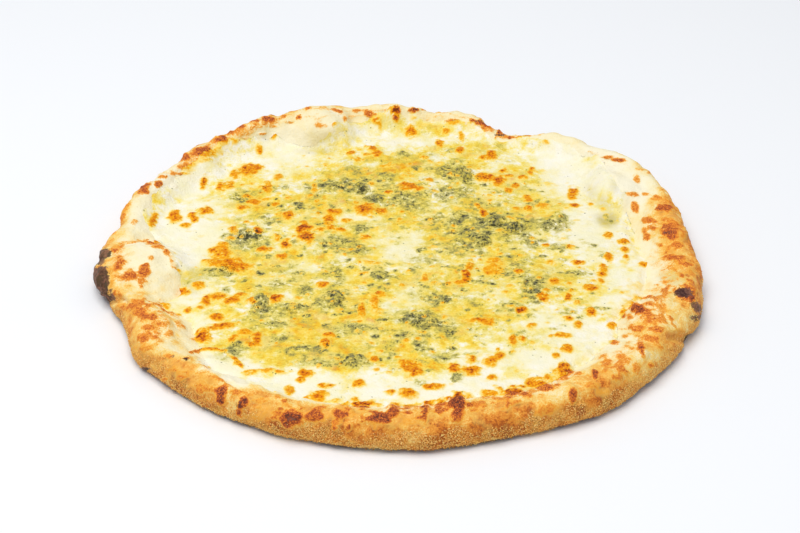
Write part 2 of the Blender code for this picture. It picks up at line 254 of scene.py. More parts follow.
def turned_mesh(radii, heights):
    """A closed mesh from rings of radii and heights, each with one value a spoke."""
    shape = bmesh.new()
    fresh = bmesh.ops.create_circle(shape, segments=SPOKES, radius=1.0)["verts"]
    first = edges = list(shape.edges)
    for ring in range(len(radii)):
        if ring:
            fresh, edges = next_ring(shape, edges)
        for vert in fresh:
            turn = math.atan2(vert.co.y, vert.co.x) % math.tau
            spoke = spoke_of(vert.co.x, vert.co.y)
            radius = radii[ring, spoke]
            vert.co = (radius * math.cos(turn), radius * math.sin(turn), heights[ring, spoke])
    close_ring(shape, first)
    close_ring(shape, edges)
    return closed_mesh(shape)


def closed_mesh(shape):
    """Turns the faces of a shape outwards and makes it a mesh."""
    bmesh.ops.recalc_face_normals(shape, faces=shape.faces)
    mesh = bpy.data.meshes.new("closed")
    shape.to_mesh(mesh)
    shape.free()
    return mesh


def edge_of_cheese(turns):
    """The radius of the cheese's edge at each angle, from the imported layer."""
    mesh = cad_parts["melted_cheese"].data
    points = points_of(mesh)
    bins = 144
    index = np.round(np.arctan2(points[:, 1], points[:, 0]) * bins / math.tau).astype(int) % bins
    widest = np.zeros(bins)
    np.maximum.at(widest, index, np.hypot(points[:, 0], points[:, 1]))
    steps = np.arange(bins + 1) * math.tau / bins
    return np.interp(turns % math.tau, steps, np.append(widest, widest[0]))


def dough_rings():
    """The dough's skin as rings of radii and heights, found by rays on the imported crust."""
    tree = surface_of(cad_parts["crust"].data)
    turns = np.arange(SPOKES) * math.tau / SPOKES
    side = np.empty((1, SPOKES))
    for spoke, turn in enumerate(turns):
        outwards = Vector((math.cos(turn), math.sin(turn), 0.0))
        start = CAST_OUTSIDE * outwards + Vector((0.0, 0.0, SIDE_HEIGHT))
        hit = tree.ray_cast(start, -outwards)[0]
        side[0, spoke] = math.hypot(hit.x, hit.y)
    core = eased(side, CORE_EASING, 0)[0] - CORE_INSET
    radii = np.empty((2 * RIM_RINGS - 1, SPOKES))
    heights = np.empty_like(radii)
    for ring, tilt in enumerate(np.radians(np.linspace(*RIM_TILTS, RIM_RINGS))):
        for spoke, turn in enumerate(turns):
            across, away = math.cos(turn), math.sin(turn)
            outwards = Vector((math.cos(tilt) * across, math.cos(tilt) * away, math.sin(tilt)))
            middle = Vector((core[spoke] * across, core[spoke] * away, CORE_HEIGHT))
            hit = tree.ray_cast(middle + CAST_OFF * outwards, -outwards)[0]
            radii[ring, spoke] = math.hypot(hit.x, hit.y)
            heights[ring, spoke] = hit.z
    reach = np.maximum(core - edge_of_cheese(turns) + UNDER_CHEESE, UNDER_CHEESE)
    for ring, share in enumerate(np.linspace(0.0, 1.0, RIM_RINGS)[1:], RIM_RINGS):
        radii[ring] = core - share * reach
        heights[ring] = heights_on(tree, radii[ring] * np.cos(turns), radii[ring] * np.sin(turns))
    return eased(radii, *SKIN_EASING), np.maximum(eased(heights, *SKIN_EASING), 0.0)


# Toasted marks on the rim: across, away, width, depth, strength
RIM_TOAST = (
    (-138, -11, 6, 11), (-132, -21, 10, 8), (-125, -18, 6, 13), (-123, -4, 3, 4, 0.6),
    (-120, 6, 5, 3, 0.6), (-122, -53, 12, 6, 0.9), (-117, -57, 10, 4, 1.1), (-128, -49, 12, 4, 0.8),
    (-124, -44, 9, 3, 0.7), (-112, -63, 9, 4, 0.7), (-116, -66, 8, 3, 0.8), (-118, -75, 7, 6, 0.9),
    (-112, -74, 4, 7, 0.8), (-107, -72, 5, 4, 0.6), (-137, -37, 4, 9, 0.9), (-116, -84, 8, 4, 0.6),
    (-135, 68, 8, 8, 1.2), (-134, 62, 6, 3), (-128, 71, 5, 5, 1.1), (-126, 79, 6, 3, 0.8),
    (-121, 83, 5, 3, 0.7), (-118, 90, 7, 3, 0.7), (-117, 101, 9, 5, 1.1), (-108, 109, 12, 7, 1.2),
    (-104, 103, 11, 3, 0.8), (-112, 104, 7, 3, 0.8), (-99, 122, 8, 7, 1.2), (-92, 118, 6, 3, 0.6),
    (-97, 131, 8, 3, 1.2), (-90, 139, 12, 4, 1.1), (-82, 145, 12, 3, 1.1), (-74, 147, 10, 5, 1.2),
    (-66, 150, 5, 3, 0.9), (-142, 47, 3, 10, 0.6), (-143, 33, 3, 9, 0.7), (-136, 30, 4, 5, 0.5),
    (-17, 153, 6, 8, 1.1), (-14, 144, 6, 5), (-11, 138, 3, 8, 0.6), (-3, 150, 5, 8, 1.2),
    (-3, 157, 6, 7, 1.8), (8, 158, 8, 3, 1.4), (-24, 157, 7, 2, 0.8), (14, 139, 4, 4, 0.6),
    (30, 143, 7, 5, 0.6), (-57, 149, 4, 4, 0.9), (-45, 138, 9, 4, 0.55), (-37, 140, 4, 3, 0.6),
    (-31, 146, 3, 6, 0.7), (112, 101, 7, 2.5, 0.9), (118, 98, 7, 3, 1.2), (134, 84, 5, 3),
    (126, 76, 4, 6, 0.6), (137, 46, 10, 6, 1.1), (122, 45, 5, 8, 0.8), (122, 60, 8, 3, 0.7),
    (129, 60, 6, 3, 0.6), (135, 55, 8, 3, 0.6), (137, 21, 12, 13, 1.1), (136, 20, 7, 5, 1.3),
    (128, 33, 10, 4, 0.8), (137, 33, 9, 4, 0.8), (141, 30, 5, 4, 0.8), (124, 18, 4, 8, 0.9),
    (139, 8, 7, 6, 0.9), (130, 8, 4, 3, 0.7), (136, -4, 12, 5), (141, -11, 8, 4, 0.9),
    (129, 25, 7, 4, 0.9), (136, -37, 11, 12, 1.4), (127, -35, 4, 6, 0.8), (141, -30, 4, 8, 0.8),
    (142, -20, 4, 8, 0.7), (112, -50, 9, 7, 1.3), (117, -57, 10, 12, 0.8), (118, -46, 7, 4, 0.8),
    (108, -57, 4, 5, 0.8), (124, -52, 9, 6, 0.6), (110, -67, 8, 4, 0.9), (119, -68, 10, 4, 0.9),
    (116, -75, 10, 4, 0.8), (122, -60, 5, 8, 0.7), (110, -85, 4, 9, 1.2), (98, -79, 6, 3, 0.9),
    (104, -74, 5, 3, 0.6), (87, -105, 3, 6, 1.2), (93, -95, 7, 7, 0.75), (99, -100, 8, 8, 0.8),
    (101, -92, 8, 5, 0.65), (97, -107, 9, 3, 0.7), (106, -100, 4, 5, 0.7), (92, -101, 4, 3, 0.6),
    (113, -97, 3, 3, 0.8), (-47, -137, 10, 9, 1.4), (-37, -135, 10, 6, 1.1), (-35, -130, 8, 3, 0.9),
    (-25, -134, 9, 6, 1.2), (-27, -140, 6, 3, 0.8), (-16, -127, 10, 3, 1.3),
    (-10, -137, 17, 7, 1.4), (-4, -133, 7, 7, 1.2), (-22, -143, 3, 4, 1.4), (-28, -144, 3, 3, 0.9),
    (-2, -128, 7, 4, 0.9), (11, -131, 4, 9, 1.3), (17, -130, 4, 7, 1.1), (25, -127, 7, 12, 1.5),
    (25, -135, 8, 6), (33, -127, 5, 3, 0.8), (49, -118, 9, 4, 1.2), (47, -127, 4, 4, 0.9),
    (60, -112, 9, 3, 1.2), (64, -131, 12, 7, 0.65), (74, -101, 7, 6, 1.3), (73, -107, 5, 2, 0.8),
    (76, -120, 4, 8, 1.2), (66, -106, 4, 3, 0.7), (-79, -120, 6, 10, 1.4), (-69, -127, 4, 8, 1.5),
    (-72, -118, 7, 3, 0.8), (-86, -116, 8, 4, 0.7), (-60, -124, 8, 3, 0.5), (-54, -121, 4, 3, 0.7),
    (38, -119, 9, 4, 0.9), (-62, -136, 12, 5, 0.4), (-95, -103, 16, 5, 0.4), (5, -140, 20, 5, 0.4),
    (85, -112, 8, 4, 0.6), (90, -118, 10, 4, 0.4), (-113, -62, 16, 12, 0.3),
    (-117, -84, 12, 8, 0.3), (-108, -98, 14, 6, 0.25), (-140, -12, 8, 30, 0.4),
    (134, 28, 18, 24, 0.3), (132, -8, 18, 24, 0.3), (116, -58, 26, 34, 0.28),
    (98, -98, 26, 16, 0.28),
)
# Toasted lips and thin burnt edges: width, strength, then places along them
RIM_LIPS = (
    (3.0, 1.2, (-143, 3), (-138, 10), (-131, 12), (-124, 10), (-119, 5), (-115, -1)),
    (2.2, 0.6, (-115, -1), (-112, -8), (-109, -16)),
    (3.0, 0.9, (-131, -50), (-124, -47), (-115, -46), (-108, -52), (-104, -60), (-102, -68)),
    (2.5, 1.0, (104, -56), (107, -47), (113, -41), (119, -40), (123, -43)),
    (4.0, 1.5, (42, 145), (46, 141), (51, 132), (56, 126), (60, 124)),
    (2.5, 0.8, (60, 124), (70, 125), (80, 129)),
    (2.5, 1.0, (-62, 156), (-52, 160), (-42, 160), (-34, 156)),
    (2.0, 0.7, (-28, 158), (-10, 157), (10, 159), (20, 157), (40, 147)),
    (2.5, 0.7, (-144, 20), (-143, 40), (-139, 55), (-136, 66)),
    (3.0, 0.9, (-120, 97), (-110, 108), (-101, 120), (-92, 133), (-80, 146), (-66, 150)),
    (2.0, 0.5, (104, 107), (114, 100), (126, 88), (134, 84)),
    (3.0, 0.8, (84, -105), (78, -103), (72, -101), (64, -107), (56, -113), (46, -117)),
    (2.0, 0.7, (-93, -91), (-87, -100), (-79, -110), (-71, -117), (-56, -124), (-46, -130)),
    (2.5, 0.8, (-46, -130), (-34, -130), (-22, -127), (-6, -128), (10, -127), (24, -122)),
    (1.8, 0.8, (134, 58), (139, 54), (143, 45), (145, 39)),
    (1.8, 0.8, (129, 33), (135, 35), (140, 31), (144, 25), (144, 21)),
    (1.8, 0.8, (132, 1), (133, 6), (136, 7)),
    (2.0, 0.9, (129, -16), (134, -15), (139, -24)),
    (1.6, 0.7, (127, -28), (131, -31), (135, -30)),
    (2.0, 0.8, (121, -40), (124, -49), (127, -62), (129, -74)),
    (1.8, 0.7, (114, -73), (116, -77), (119, -84)),
    (1.8, 0.9, (-129, -52), (-123, -49), (-118, -48)),
    (2.0, 1.0, (-95, -87), (-88, -84), (-80, -86), (-74, -94), (-69, -102)),
)
# Bands of the rim that browned all over, in many small marks: width, strength, then places
RIM_GLOWS = (
    (
        11.0, 0.6,
        (-56, -130), (-40, -134), (-20, -133), (8, -132), (30, -127), (50, -120), (72, -106),
    ),
    (
        11.0, 0.5,
        (-120, 82), (-115, 93), (-108, 106), (-98, 119), (-88, 131), (-77, 140), (-66, 147),
    ),
    (12.0, 0.32, (134, 36), (138, 20), (136, 0), (132, -20), (122, -46), (116, -64), (104, -86)),
    (18.0, 0.3, (-120, -50), (-112, -66), (-114, -88)),
    (13.0, 0.42, (-106, -94), (-98, -103), (-86, -114)),
    (8.0, 0.3, (-136, 0), (-138, -16), (-134, -34)),
    (7.0, 0.2, (-60, 150), (-30, 150), (0, 150), (40, 140)),
)
GLOW_MARKS = 620
GLOW_SIZE = (1.2, 4.2)  # mm
TOAST_WIDER = 0.85
TOAST_DEEPER = 1.4  # gives back to a mark's depth what the steep sides of the rim hide of it
# Charred spots: across, away, width, depth, strength
RIM_CHAR = (
    (-149, -1, 9, 13, 1.4), (-147, -9, 4, 6, 0.7), (-147, -25, 12, 23, 1.5),
    (-144, -36, 10, 10, 1.1), (-153, -18, 10, 14, 1.1), (-139, -41, 7, 7, 0.9),
    (140, -58, 9, 7, 0.75), (136, -37, 9, 10, 0.95), (-114, -100, 5, 3), (8, 159, 6, 2, 0.8),
    (55, 127, 8, 3, 0.7), (44, 144, 6, 2, 0.7), (140, -49, 5, 12, 0.8), (-97, -92, 3, 2, 0.9),
    (-47, -138, 5, 4, 0.5), (-70, -128, 3, 4, 0.6), (135, 20, 5, 4, 0.45), (-79, -122, 4, 5, 0.5),
    (-103, -90, 3, 3, 0.6),
)
# Charred and toasted knobs that stand out of the rim: across, away, width, depth, height in mm
RIM_KNOBS = (
    (-149, -1, 9, 13, 1.9), (-149, -22, 12, 24, 2.3), (-142, -41, 6, 8, 1.2), (7, 158, 8, 8, 0.9),
    (-47, -138, 9, 9, 0.8), (25, -130, 9, 12, 0.7), (-22, -142, 4, 5, 0.7), (-79, -121, 5, 9, 0.6),
    (142, 32, 8, 8, 0.8), (139, -36, 8, 10, 0.6), (-4, -134, 8, 8, 0.6), (-118, -98, 8, 6, 0.6),
)
# The browned band on the outer side of the rim: angle, width in mm, and how brown it is
RIM_BAKING = (
    (0, 24, 0.60), (18, 22, 0.56), (28, 9, 0.42), (42, 4, 0.36), (60, 4, 0.30), (70, 9, 0.46),
    (80, 12, 0.44), (90, 16, 0.42), (102, 12, 0.34), (112, 6, 0.34), (120, 20, 0.62),
    (142, 20, 0.60), (155, 8, 0.50), (170, 8, 0.42), (180, 12, 0.36), (190, 14, 0.42),
    (200, 22, 0.46), (215, 24, 0.46), (225, 20, 0.56), (240, 16, 0.58), (270, 14, 0.60),
    (300, 16, 0.52), (315, 22, 0.42), (330, 26, 0.40), (345, 20, 0.50), (360, 24, 0.60),
)
# Where the dough stayed pale: across, away, width, depth, strength
PALE_DOUGH = (
    (-124, -8, 30, 34, 0.35), (-45, 132, 30, 50, 0.2), (122, 66, 26, 40, 0.9),
    (98, -84, 14, 14, 0.6), (113, -90, 10, 14, 0.6), (-104, -86, 20, 12, 0.6),
    (131, -26, 16, 16, 0.8), (128, -14, 12, 14, 0.6), (-128, 40, 20, 40, 0.6),
    (126, -62, 10, 14, 0.4), (-70, -127, 9, 14, 0.6), (-28, -134, 3, 12, 0.4),
    (108, -76, 16, 6, 0.6), (125, 4, 8, 16, 0.5), (55, -123, 20, 4, 0.5), (-38, 152, 16, 8, 0.3),
    (104, 92, 34, 40, 0.9), (-112, 74, 20, 50, 0.6), (72, -118, 34, 18, 0.45),
    (112, -100, 30, 26, 0.35), (-82, -97, 16, 16), (-73, -106, 14, 16), (-66, 120, 34, 34, 0.8),
    (-40, 132, 24, 30, 0.4), (-120, 66, 26, 60),
)
# Where melted cheese ran thinly up and over the rim: across, away, width, depth, share
COATED_RIM = (
    (-122, -12, 34, 42), (-112, -50, 26, 12, 0.7), (-98, -78, 18, 18, 0.8),
    (-112, -72, 30, 34, 0.9), (-88, -92, 10, 10, 1.3), (-83, -97, 13, 15, 1.3),
    (-76, -103, 13, 16, 1.3), (-70, -109, 10, 12, 1.3), (-130, -41, 18, 12, 0.8), (118, 30, 24, 62),
    (124, 70, 24, 44), (124, -6, 18, 22, 0.7), (117, -42, 26, 34, 0.9), (96, -84, 38, 26, 0.9),
    (62, -108, 22, 10, 0.5), (100, 98, 44, 40), (0, 142, 64, 24, 0.9), (-58, 134, 52, 34),
    (-122, 68, 24, 56, 0.9), (-134, 36, 16, 56, 0.8), (44, 132, 50, 28, 0.9),
    (104, -98, 18, 14, 0.7), (132, 84, 14, 20, 0.7), (-96, 96, 26, 26, 0.8),
)
# Painted shade: darker, olive tints laid where shade falls in hollows, folds and at the foot of a
# bubble, on the dough and the cheese; the mark at (132, -23) is the olive colour of blue cheese
PAINTED_SHADE_AND_OLIVE = (
    (106, 33, 11, 14, 1.3), (113, 68, 4, 18, 0.5), (106, 48, 7, 16, 0.6), (-46, 108, 20, 8, 0.6),
    (132, -23, 12, 14, 0.8), (-44, 124, 14, 18, 0.7), (118, 56, 5, 16, 0.4),
    (-100, -24, 9, 22, 0.7), (-84, -90, 10, 3, 0.4), (100, 62, 6, 20, 0.4),
)
# Folds and cracks in the dough: width, depth, then places along them
RIM_CREASES = (
    (4.0, 0.8, (-108, -14), (-104, -22), (-100, -30)),
    (2.5, 0.8, (-28, -134), (-29, -142), (-31, -150)),
    (5.0, 1.0, (104, 58), (106, 44), (108, 32)),
    (4.0, 0.6, (112, 78), (113, 66), (114, 56)),
    (3.5, 0.7, (-98, -92), (-88, -96), (-80, -104), (-72, -114)),
    (3.0, 0.5, (126, -40), (124, -52), (127, -66)),
    (3.0, 0.5, (-114, -62), (-110, -70), (-108, -80)),
    (8.0, 2.0, (-146, -50), (-140, -43), (-134, -43)),
    (8.0, 2.0, (139, -76), (133, -77), (128, -74)),
    (16.0, 1.3, (148, 10), (150, -12), (150, -32)),
)


def lines(places, marks, ragged):
    """How strongly each place lies on a list of lines, each with its width, strength and places."""
    strength = np.zeros(len(places))
    for width, most, *along in marks:
        for start, end in zip(along, along[1:]):
            low = np.minimum(start, end) - 2 * width
            high = np.maximum(start, end) + 2 * width
            near = np.flatnonzero(((places > low) & (places < high)).all(axis=1))
            run = np.subtract(end, start).astype(float)
            offset = places[near] - start
            share = np.clip(offset @ run / (run @ run), 0, 1)
            distance = np.linalg.norm(offset - share[:, None] * run, axis=1) * 2 / width
            value = most * ease(1.5 - distance - ragged[near])
            strength[near] = np.maximum(strength[near], value)
    return strength


def glow_marks():
    """Small toasted marks scattered along the browned bands, most of them where a band is long."""
    draw = np.random.default_rng(29)
    marks = []
    runs = [
        (width, most, np.array(start), np.array(end))
        for width, most, *along in RIM_GLOWS for start, end in zip(along, along[1:])
    ]
    share = np.array([width * math.dist(start, end) for width, _, start, end in runs])
    for run in draw.choice(len(runs), GLOW_MARKS, p=share / share.sum()):
        width, most, start, end = runs[run]
        place = start + draw.uniform() * (end - start) + draw.normal(0, width / 3.2, 2)
        size = draw.uniform(*GLOW_SIZE)
        wide, deep = size * draw.uniform(0.9, 1.7), size * draw.uniform(0.6, 1.0)
        marks.append((*place, wide, deep, draw.uniform(0.25, 2.0) * most))
    return marks


def resized(marks, wider, deeper):
    """The same marks with their widths and depths multiplied."""
    return [(x, y, wider * width, deeper * depth, *most) for x, y, width, depth, *most in marks]


def coat_at(points, places, facing, inside):
    """How far melted cheese coats the dough: by its edge, and where it ran over the rim."""
    turn = np.arctan2(points[:, 1], points[:, 0])
    beyond = (np.hypot(points[:, 0], points[:, 1]) - edge_of_cheese(turn)) / MM
    width = 3 + 6 * ease((points[:, 1] + 0.13) / 0.08)
    coat = ease((width * (1 + 0.5 * rough(points, 9, 35)) - beyond) / 6 + 0.5)
    ran = spots(places, COATED_RIM, 0.5 * rough(points, 6, 36), 0.5) * facing
    return np.maximum(coat, ran) * ease((inside - 2 + 2 * rough(points, 5, 37)) / 4)


def toast_at(points):
    """How toasted the rim is at each point: marks and lips, uneven in outline and in depth."""
    places = sight_places(points)
    ragged = 0.65 * rough(points, 3.2, 21)
    toast = spots(places, resized(RIM_TOAST, TOAST_WIDER, TOAST_DEEPER), ragged, 0.5)
    broken = 0.35 + 0.65 * ease(0.5 + 1.1 * rough(points, 6, 24))
    toast = np.maximum(toast, broken * lines(places, RIM_LIPS, 2.2 * ragged))
    toast = np.maximum(toast, 0.8 * broken * lines(places, RIM_GLOWS, 1.2 * ragged))
    return np.maximum(toast, spots(places, glow_marks(), ragged, 0.6))


def make_dough_mesh():
    """The dough's skin with its fine relief, closed by a flat underside and a plain floor."""
    radii, heights = dough_rings()
    under, middle = np.outer(UNDER_RINGS, radii[0]), np.outer(MIDDLE_RINGS, radii[-1])
    heights = np.vstack((0 * under, heights, np.full_like(middle, MIDDLE_HEIGHT)))
    mesh = turned_mesh(np.vstack((under, radii, middle)), heights)
    points, normals = points_of(mesh), normals_of(mesh)
    places = sight_places(points)
    toast = toast_at(points) * faces_eye(points, normals)
    height = points[:, 2] / MM
    relief = layered(points, *DOUGH_RELIEF) + 0.7 * lumps(points, 7, 6) * ease((height - 9) / 4)
    relief += TOAST_RISE * np.minimum(toast, 1.2) * (1 + 0.5 * lumps(points, 2, 5))
    relief *= 1 - 0.5 * ease((height - 18) / 4)
    relief -= CREASE_DEEPER * lines(places, RIM_CREASES, np.zeros(len(points)))
    relief += spots(places, RIM_KNOBS, 0.35 * rough(points, 3, 7), 0.7)
    standing = ease(height / 2.5)
    shown = ease((np.hypot(points[:, 0], points[:, 1]) - SHOWN_FROM[0]) / SHOWN_FROM[1])
    points += normals * (relief * standing * shown * MM)[:, None]
    points[:, 2] = np.clip(points[:, 2], 0.0, TOP_HEIGHT)
    set_points(mesh, points)
    return mesh


def faces_eye(points, normals, beyond=0.05):
    """One where the surface faces the line of sight, nothing where it turns away beyond a share."""
    towards = np.array(EYE) - points
    towards /= np.linalg.norm(towards, axis=1)[:, None]
    return ease((np.sum(towards * normals, axis=1) + beyond) / 0.15)


def rim_band(points, outer):
    """The browning of the rim's outer band, from its table round the rim."""
    turn = np.arctan2(points[:, 1], points[:, 0]) % math.tau
    angles, widths, shares = np.transpose(RIM_BAKING)
    width, share = (np.interp(turn, np.radians(angles), column) for column in (widths, shares))
    inside = (outer - np.hypot(points[:, 0], points[:, 1])) / MM + 3 * rough(points, 8, 46)
    return share * ease(1.35 - inside / width)


def paint_dough(mesh):
    """Lays the baking of the dough on its points: browning, toast, charring, bare gritty skin and
    painted shade.
    """
    points, normals = points_of(mesh), normals_of(mesh)
    places = sight_places(points)
    radius = np.hypot(points[:, 0], points[:, 1])
    spoke = spoke_of(points[:, 0], points[:, 1])
    widest = np.zeros(SPOKES)
    np.maximum.at(widest, spoke, radius)
    facing = faces_eye(points, normals)
    toast = toast_at(points) * facing
    char = spots(places, RIM_CHAR, 0.5 * rough(points, 4, 31), 0.4)
    char *= faces_eye(points, normals, 0.4)
    height = points[:, 2] / MM
    # darker along the foot of the side: partly scorched dough, partly a painted contact shadow
    # where the crust meets the table
    scorch_and_contact_shade = ease((3.0 - height) / 1.2) * ease((height - 0.1) / 0.3)
    char = np.maximum(char, scorch_and_contact_shade * (0.75 + 0.4 * rough(points, 14, 32)))
    outwards = np.sum(normals[:, :2] * points[:, :2], axis=1) / np.maximum(radius, MM)
    side = ease((outwards - 0.1) / 0.6) * ease((0.9 - normals[:, 2]) / 0.4)
    low = ease((13 + 5 * rough(points, 9, 33) - height) / 6)
    under = ease(-normals[:, 2] / 0.6)
    hidden_crest = (1 - facing) * ease((height - 9) / 8)
    bake = 0.20 + 0.85 * rim_band(points, widest[spoke]) + 0.08 * side
    bake += 0.20 * rough(points, 9, 41) + 0.12 * lumps(points, 4, 42)
    pale = spots(places, PALE_DOUGH, 0.3 * rough(points, 8, 43), 0.5) * facing
    bake *= 1 - 0.75 * pale
    coat = coat_at(points, places, facing, (widest[spoke] - radius) / MM)
    bake = bake * (1 - 0.85 * coat) + 0.15 * coat * (1 - 0.7 * pale)
    random_toast = ease((rough(points, 9, 47) - 0.42) / 0.25) * hidden_crest
    toast = np.maximum(toast, 0.9 * random_toast)
    bake = np.where(under > 0.5, 0.62 + 0.3 * rough(points, 22, 49), bake)
    grit = side * low * (1 + 0.5 * rough(points, 7, 34)) + under
    # painted shade in the hollows, and the olive of blue cheese at one place on the rim
    hollow = spots(places, PAINTED_SHADE_AND_OLIVE, 0.3 * rough(points, 6, 45), 0.7) * facing
    bake, grit = np.clip(bake, 0, 1.2), np.clip(grit, 0, 1)
    lay_on(mesh, bake=bake, toast=toast, char=char, grit=grit, hollow=hollow)


def shader_tree(name, roughness, specular):
    """A material with its Principled shader, and the tree of nodes to build on."""
    material = bpy.data.materials.new(name)
    material.use_nodes = True
    tree = material.node_tree
    shader = tree.nodes["Principled BSDF"]
    shader.inputs["Roughness"].default_value = roughness
    shader.inputs["Specular IOR Level"].default_value = specular
    return material, shader, tree


def attribute_value(tree, name):
    node = tree.nodes.new("ShaderNodeAttribute")
    node.attribute_name = name
    return node.outputs["Fac"]


def grain(tree, size, detail=2.0):
    """Noise with grains of about a size in mm, and the pizza's coordinates that it lies on."""
    where = tree.nodes.new("ShaderNodeTexCoord").outputs["Object"]
    noise = tree.nodes.new("ShaderNodeTexNoise")
    noise.inputs["Scale"].default_value = 1 / (size * MM)
    noise.inputs["Detail"].default_value = detail
    tree.links.new(where, noise.inputs["Vector"])
    return noise.outputs, where


def cells(tree, size, bent):
    """Distance to the nearest of many scattered points, in shares of a size in mm, and bent."""
    noise, where = grain(tree, size / 1.2)
    moved = tree.nodes.new("ShaderNodeVectorMath")
    moved.operation = "MULTIPLY_ADD"
    moved.inputs[1].default_value = (bent * MM,) * 3
    tree.links.new(noise["Color"], moved.inputs[0])
    tree.links.new(where, moved.inputs[2])
    texture = tree.nodes.new("ShaderNodeTexVoronoi")
    texture.inputs["Scale"].default_value = 1 / (size * MM)
    tree.links.new(moved.outputs["Vector"], texture.inputs["Vector"])
    return texture.outputs["Distance"]


def worked(tree, operation, *values):
    """One Math node: each value is a socket or a number."""
    node = tree.nodes.new("ShaderNodeMath")
    node.operation = operation
    for socket, value in zip(node.inputs, values):
        if isinstance(value, (int, float)):
            socket.default_value = value
        else:
            tree.links.new(value, socket)
    return node.outputs["Value"]


def times(tree, first, second):
    return worked(tree, "MULTIPLY", first, second)


def weighed(tree, start, *parts):
    """A start, a socket or a number, with shares of other values added: (value, share) each."""
    total = start
    for value, share in parts:
        total = worked(tree, "MULTIPLY_ADD", value, share, total)
    return total


def ramp(tree, value, stops):
    """Colours at positions of a value, eased between: (position, red, green, blue) each."""
    node = tree.nodes.new("ShaderNodeValToRGB")
    band = node.color_ramp
    while len(band.elements) < len(stops):
        band.elements.new(0.5)
    for element, (position, *colour) in zip(band.elements, stops):
        element.position = position
        element.color = srgb(*colour)
    tree.links.new(value, node.inputs["Fac"])
    return node.outputs["Color"]


def blend(tree, share, under, over):
    """A colour mixed over another by a share. The one on top is (red, green, blue) or a socket."""
    node = tree.nodes.new("ShaderNodeMix")
    node.data_type = "RGBA"
    tree.links.new(share, node.inputs["Factor"])
    sockets = [item for item in node.inputs if item.type == "RGBA"]
    for socket, value in zip(sockets, (under, over)):
        if isinstance(value, tuple):
            socket.default_value = srgb(*value)
        else:
            tree.links.new(value, socket)
    return [item for item in node.outputs if item.type == "RGBA"][0]


def bumped(tree, shader, height, depth, strength):
    """A fine bump whose height in mm runs with a value."""
    node = tree.nodes.new("ShaderNodeBump")
    node.inputs["Distance"].default_value = depth * MM
    node.inputs["Strength"].default_value = strength
    tree.links.new(height, node.inputs["Height"])
    tree.links.new(node.outputs["Normal"], shader.inputs["Normal"])


def clamped(tree, value, gain, shift, most=1.0):
    """A value scaled, shifted and held between nothing and a most."""
    scaled = worked(tree, "MULTIPLY_ADD", value, gain, shift)
    return worked(tree, "MINIMUM", worked(tree, "MAXIMUM", scaled, 0.0), most)


def around_zero(tree, size, detail=3.0):
    """Noise of a size in mm that swings about nothing, by 2 at most."""
    noise = grain(tree, size, detail)[0]["Fac"]
    return worked(tree, "MULTIPLY_ADD", noise, 4.0, -2.0)


def make_dough_material():
    """Baked dough: cream to golden brown, mottled, with toasted marks, pale grit outside and
    painted shade.
    """
    material, shader, tree = shader_tree("baked_dough", 0.6, 0.14)
    mottle, fine, gritty = (around_zero(tree, *size) for size in ((4.5,), (1.2,), (0.6, 1.0)))
    baked, grit = attribute_value(tree, "bake"), attribute_value(tree, "grit")
    uneven = weighed(tree, times(tree, mottle, 0.18), (fine, 0.16), (gritty, 0.10))
    bake = weighed(tree, baked, (uneven, clamped(tree, baked, 2.0, -0.15)))
    colour = ramp(tree, bake, (
        (0.0, 252, 247, 226), (0.18, 251, 239, 194), (0.38, 250, 214, 124),
        (0.6, 246, 172, 68), (0.82, 224, 132, 44), (1.0, 180, 94, 34),
    ))
    sunny = clamped(tree, around_zero(tree, 7.0), 0.9, 0.0, 0.6)
    sunny = times(tree, sunny, clamped(tree, baked, 1.4, -0.1))
    colour = blend(tree, sunny, colour, (244, 198, 96))
    # painted shade: an olive tint where shade falls in the hollows
    colour = blend(tree, times(tree, attribute_value(tree, "hollow"), 0.5), colour, (206, 184, 100))
    gap = times(tree, clamped(tree, cells(tree, 0.9, 0.5), 5.0, -2.2, 0.5), grit)
    gap = times(tree, gap, clamped(tree, baked, 2.0, -0.5))
    colour = blend(tree, gap, colour, (132, 72, 26))
    speck = times(tree, clamped(tree, cells(tree, 0.9, 0.5), -5.0, 1.9), grit)
    colour = blend(tree, times(tree, speck, 0.5), colour, (254, 222, 140))
    patchy = weighed(tree, 1.0, (fine, 0.34), (gritty, 0.30), (mottle, 0.16))
    toast = times(tree, patchy, attribute_value(tree, "toast"))
    toasted = ramp(tree, times(tree, toast, 0.56), (
        (0.08, 253, 216, 116), (0.24, 248, 178, 64), (0.42, 234, 138, 46),
        (0.62, 196, 96, 40), (0.84, 140, 66, 38), (1.0, 94, 50, 36),
    ))
    colour = blend(tree, clamped(tree, toast, 2.4, -0.2), colour, toasted)
    char = weighed(tree, attribute_value(tree, "char"), (fine, 0.30), (gritty, 0.15))
    ashy = clamped(tree, weighed(tree, mottle, (fine, 0.8)), 1.0, 0.4)
    # the char colour, also laid on the painted contact shadow along the foot of the side
    burnt = blend(tree, ashy, (46, 32, 36), (136, 96, 78))
    colour = blend(tree, clamped(tree, char, 2.4, -0.7, 0.92), colour, burnt)
    tree.links.new(colour, shader.inputs["Base Color"])
    bumped(tree, shader, worked(tree, "ADD", fine, mottle), 0.15, 0.7)
    return material


dough_mesh = make_dough_mesh()
paint_dough(dough_mesh)
new_piece("baked_crust", dough_mesh, make_dough_material(), "crust", "crust")


# The semolina. The dough was stretched on coarse semolina, and grains of it stuck to the outer side
# and baked on, palest and thickest on the near side.

GRAINS = 9000
GRAIN_SIZE = (0.16, 0.32)  # radius in mm
GRAIN_STRETCH = (0.7, 1.3)
GRAIN_SLIDE = 0.3 * MM  # off the point of the mesh that a grain was drawn for
GRAIN_RISE = 0.1 * MM
GRAIN_HEIGHTS = (0.8 * MM, 13 * MM)


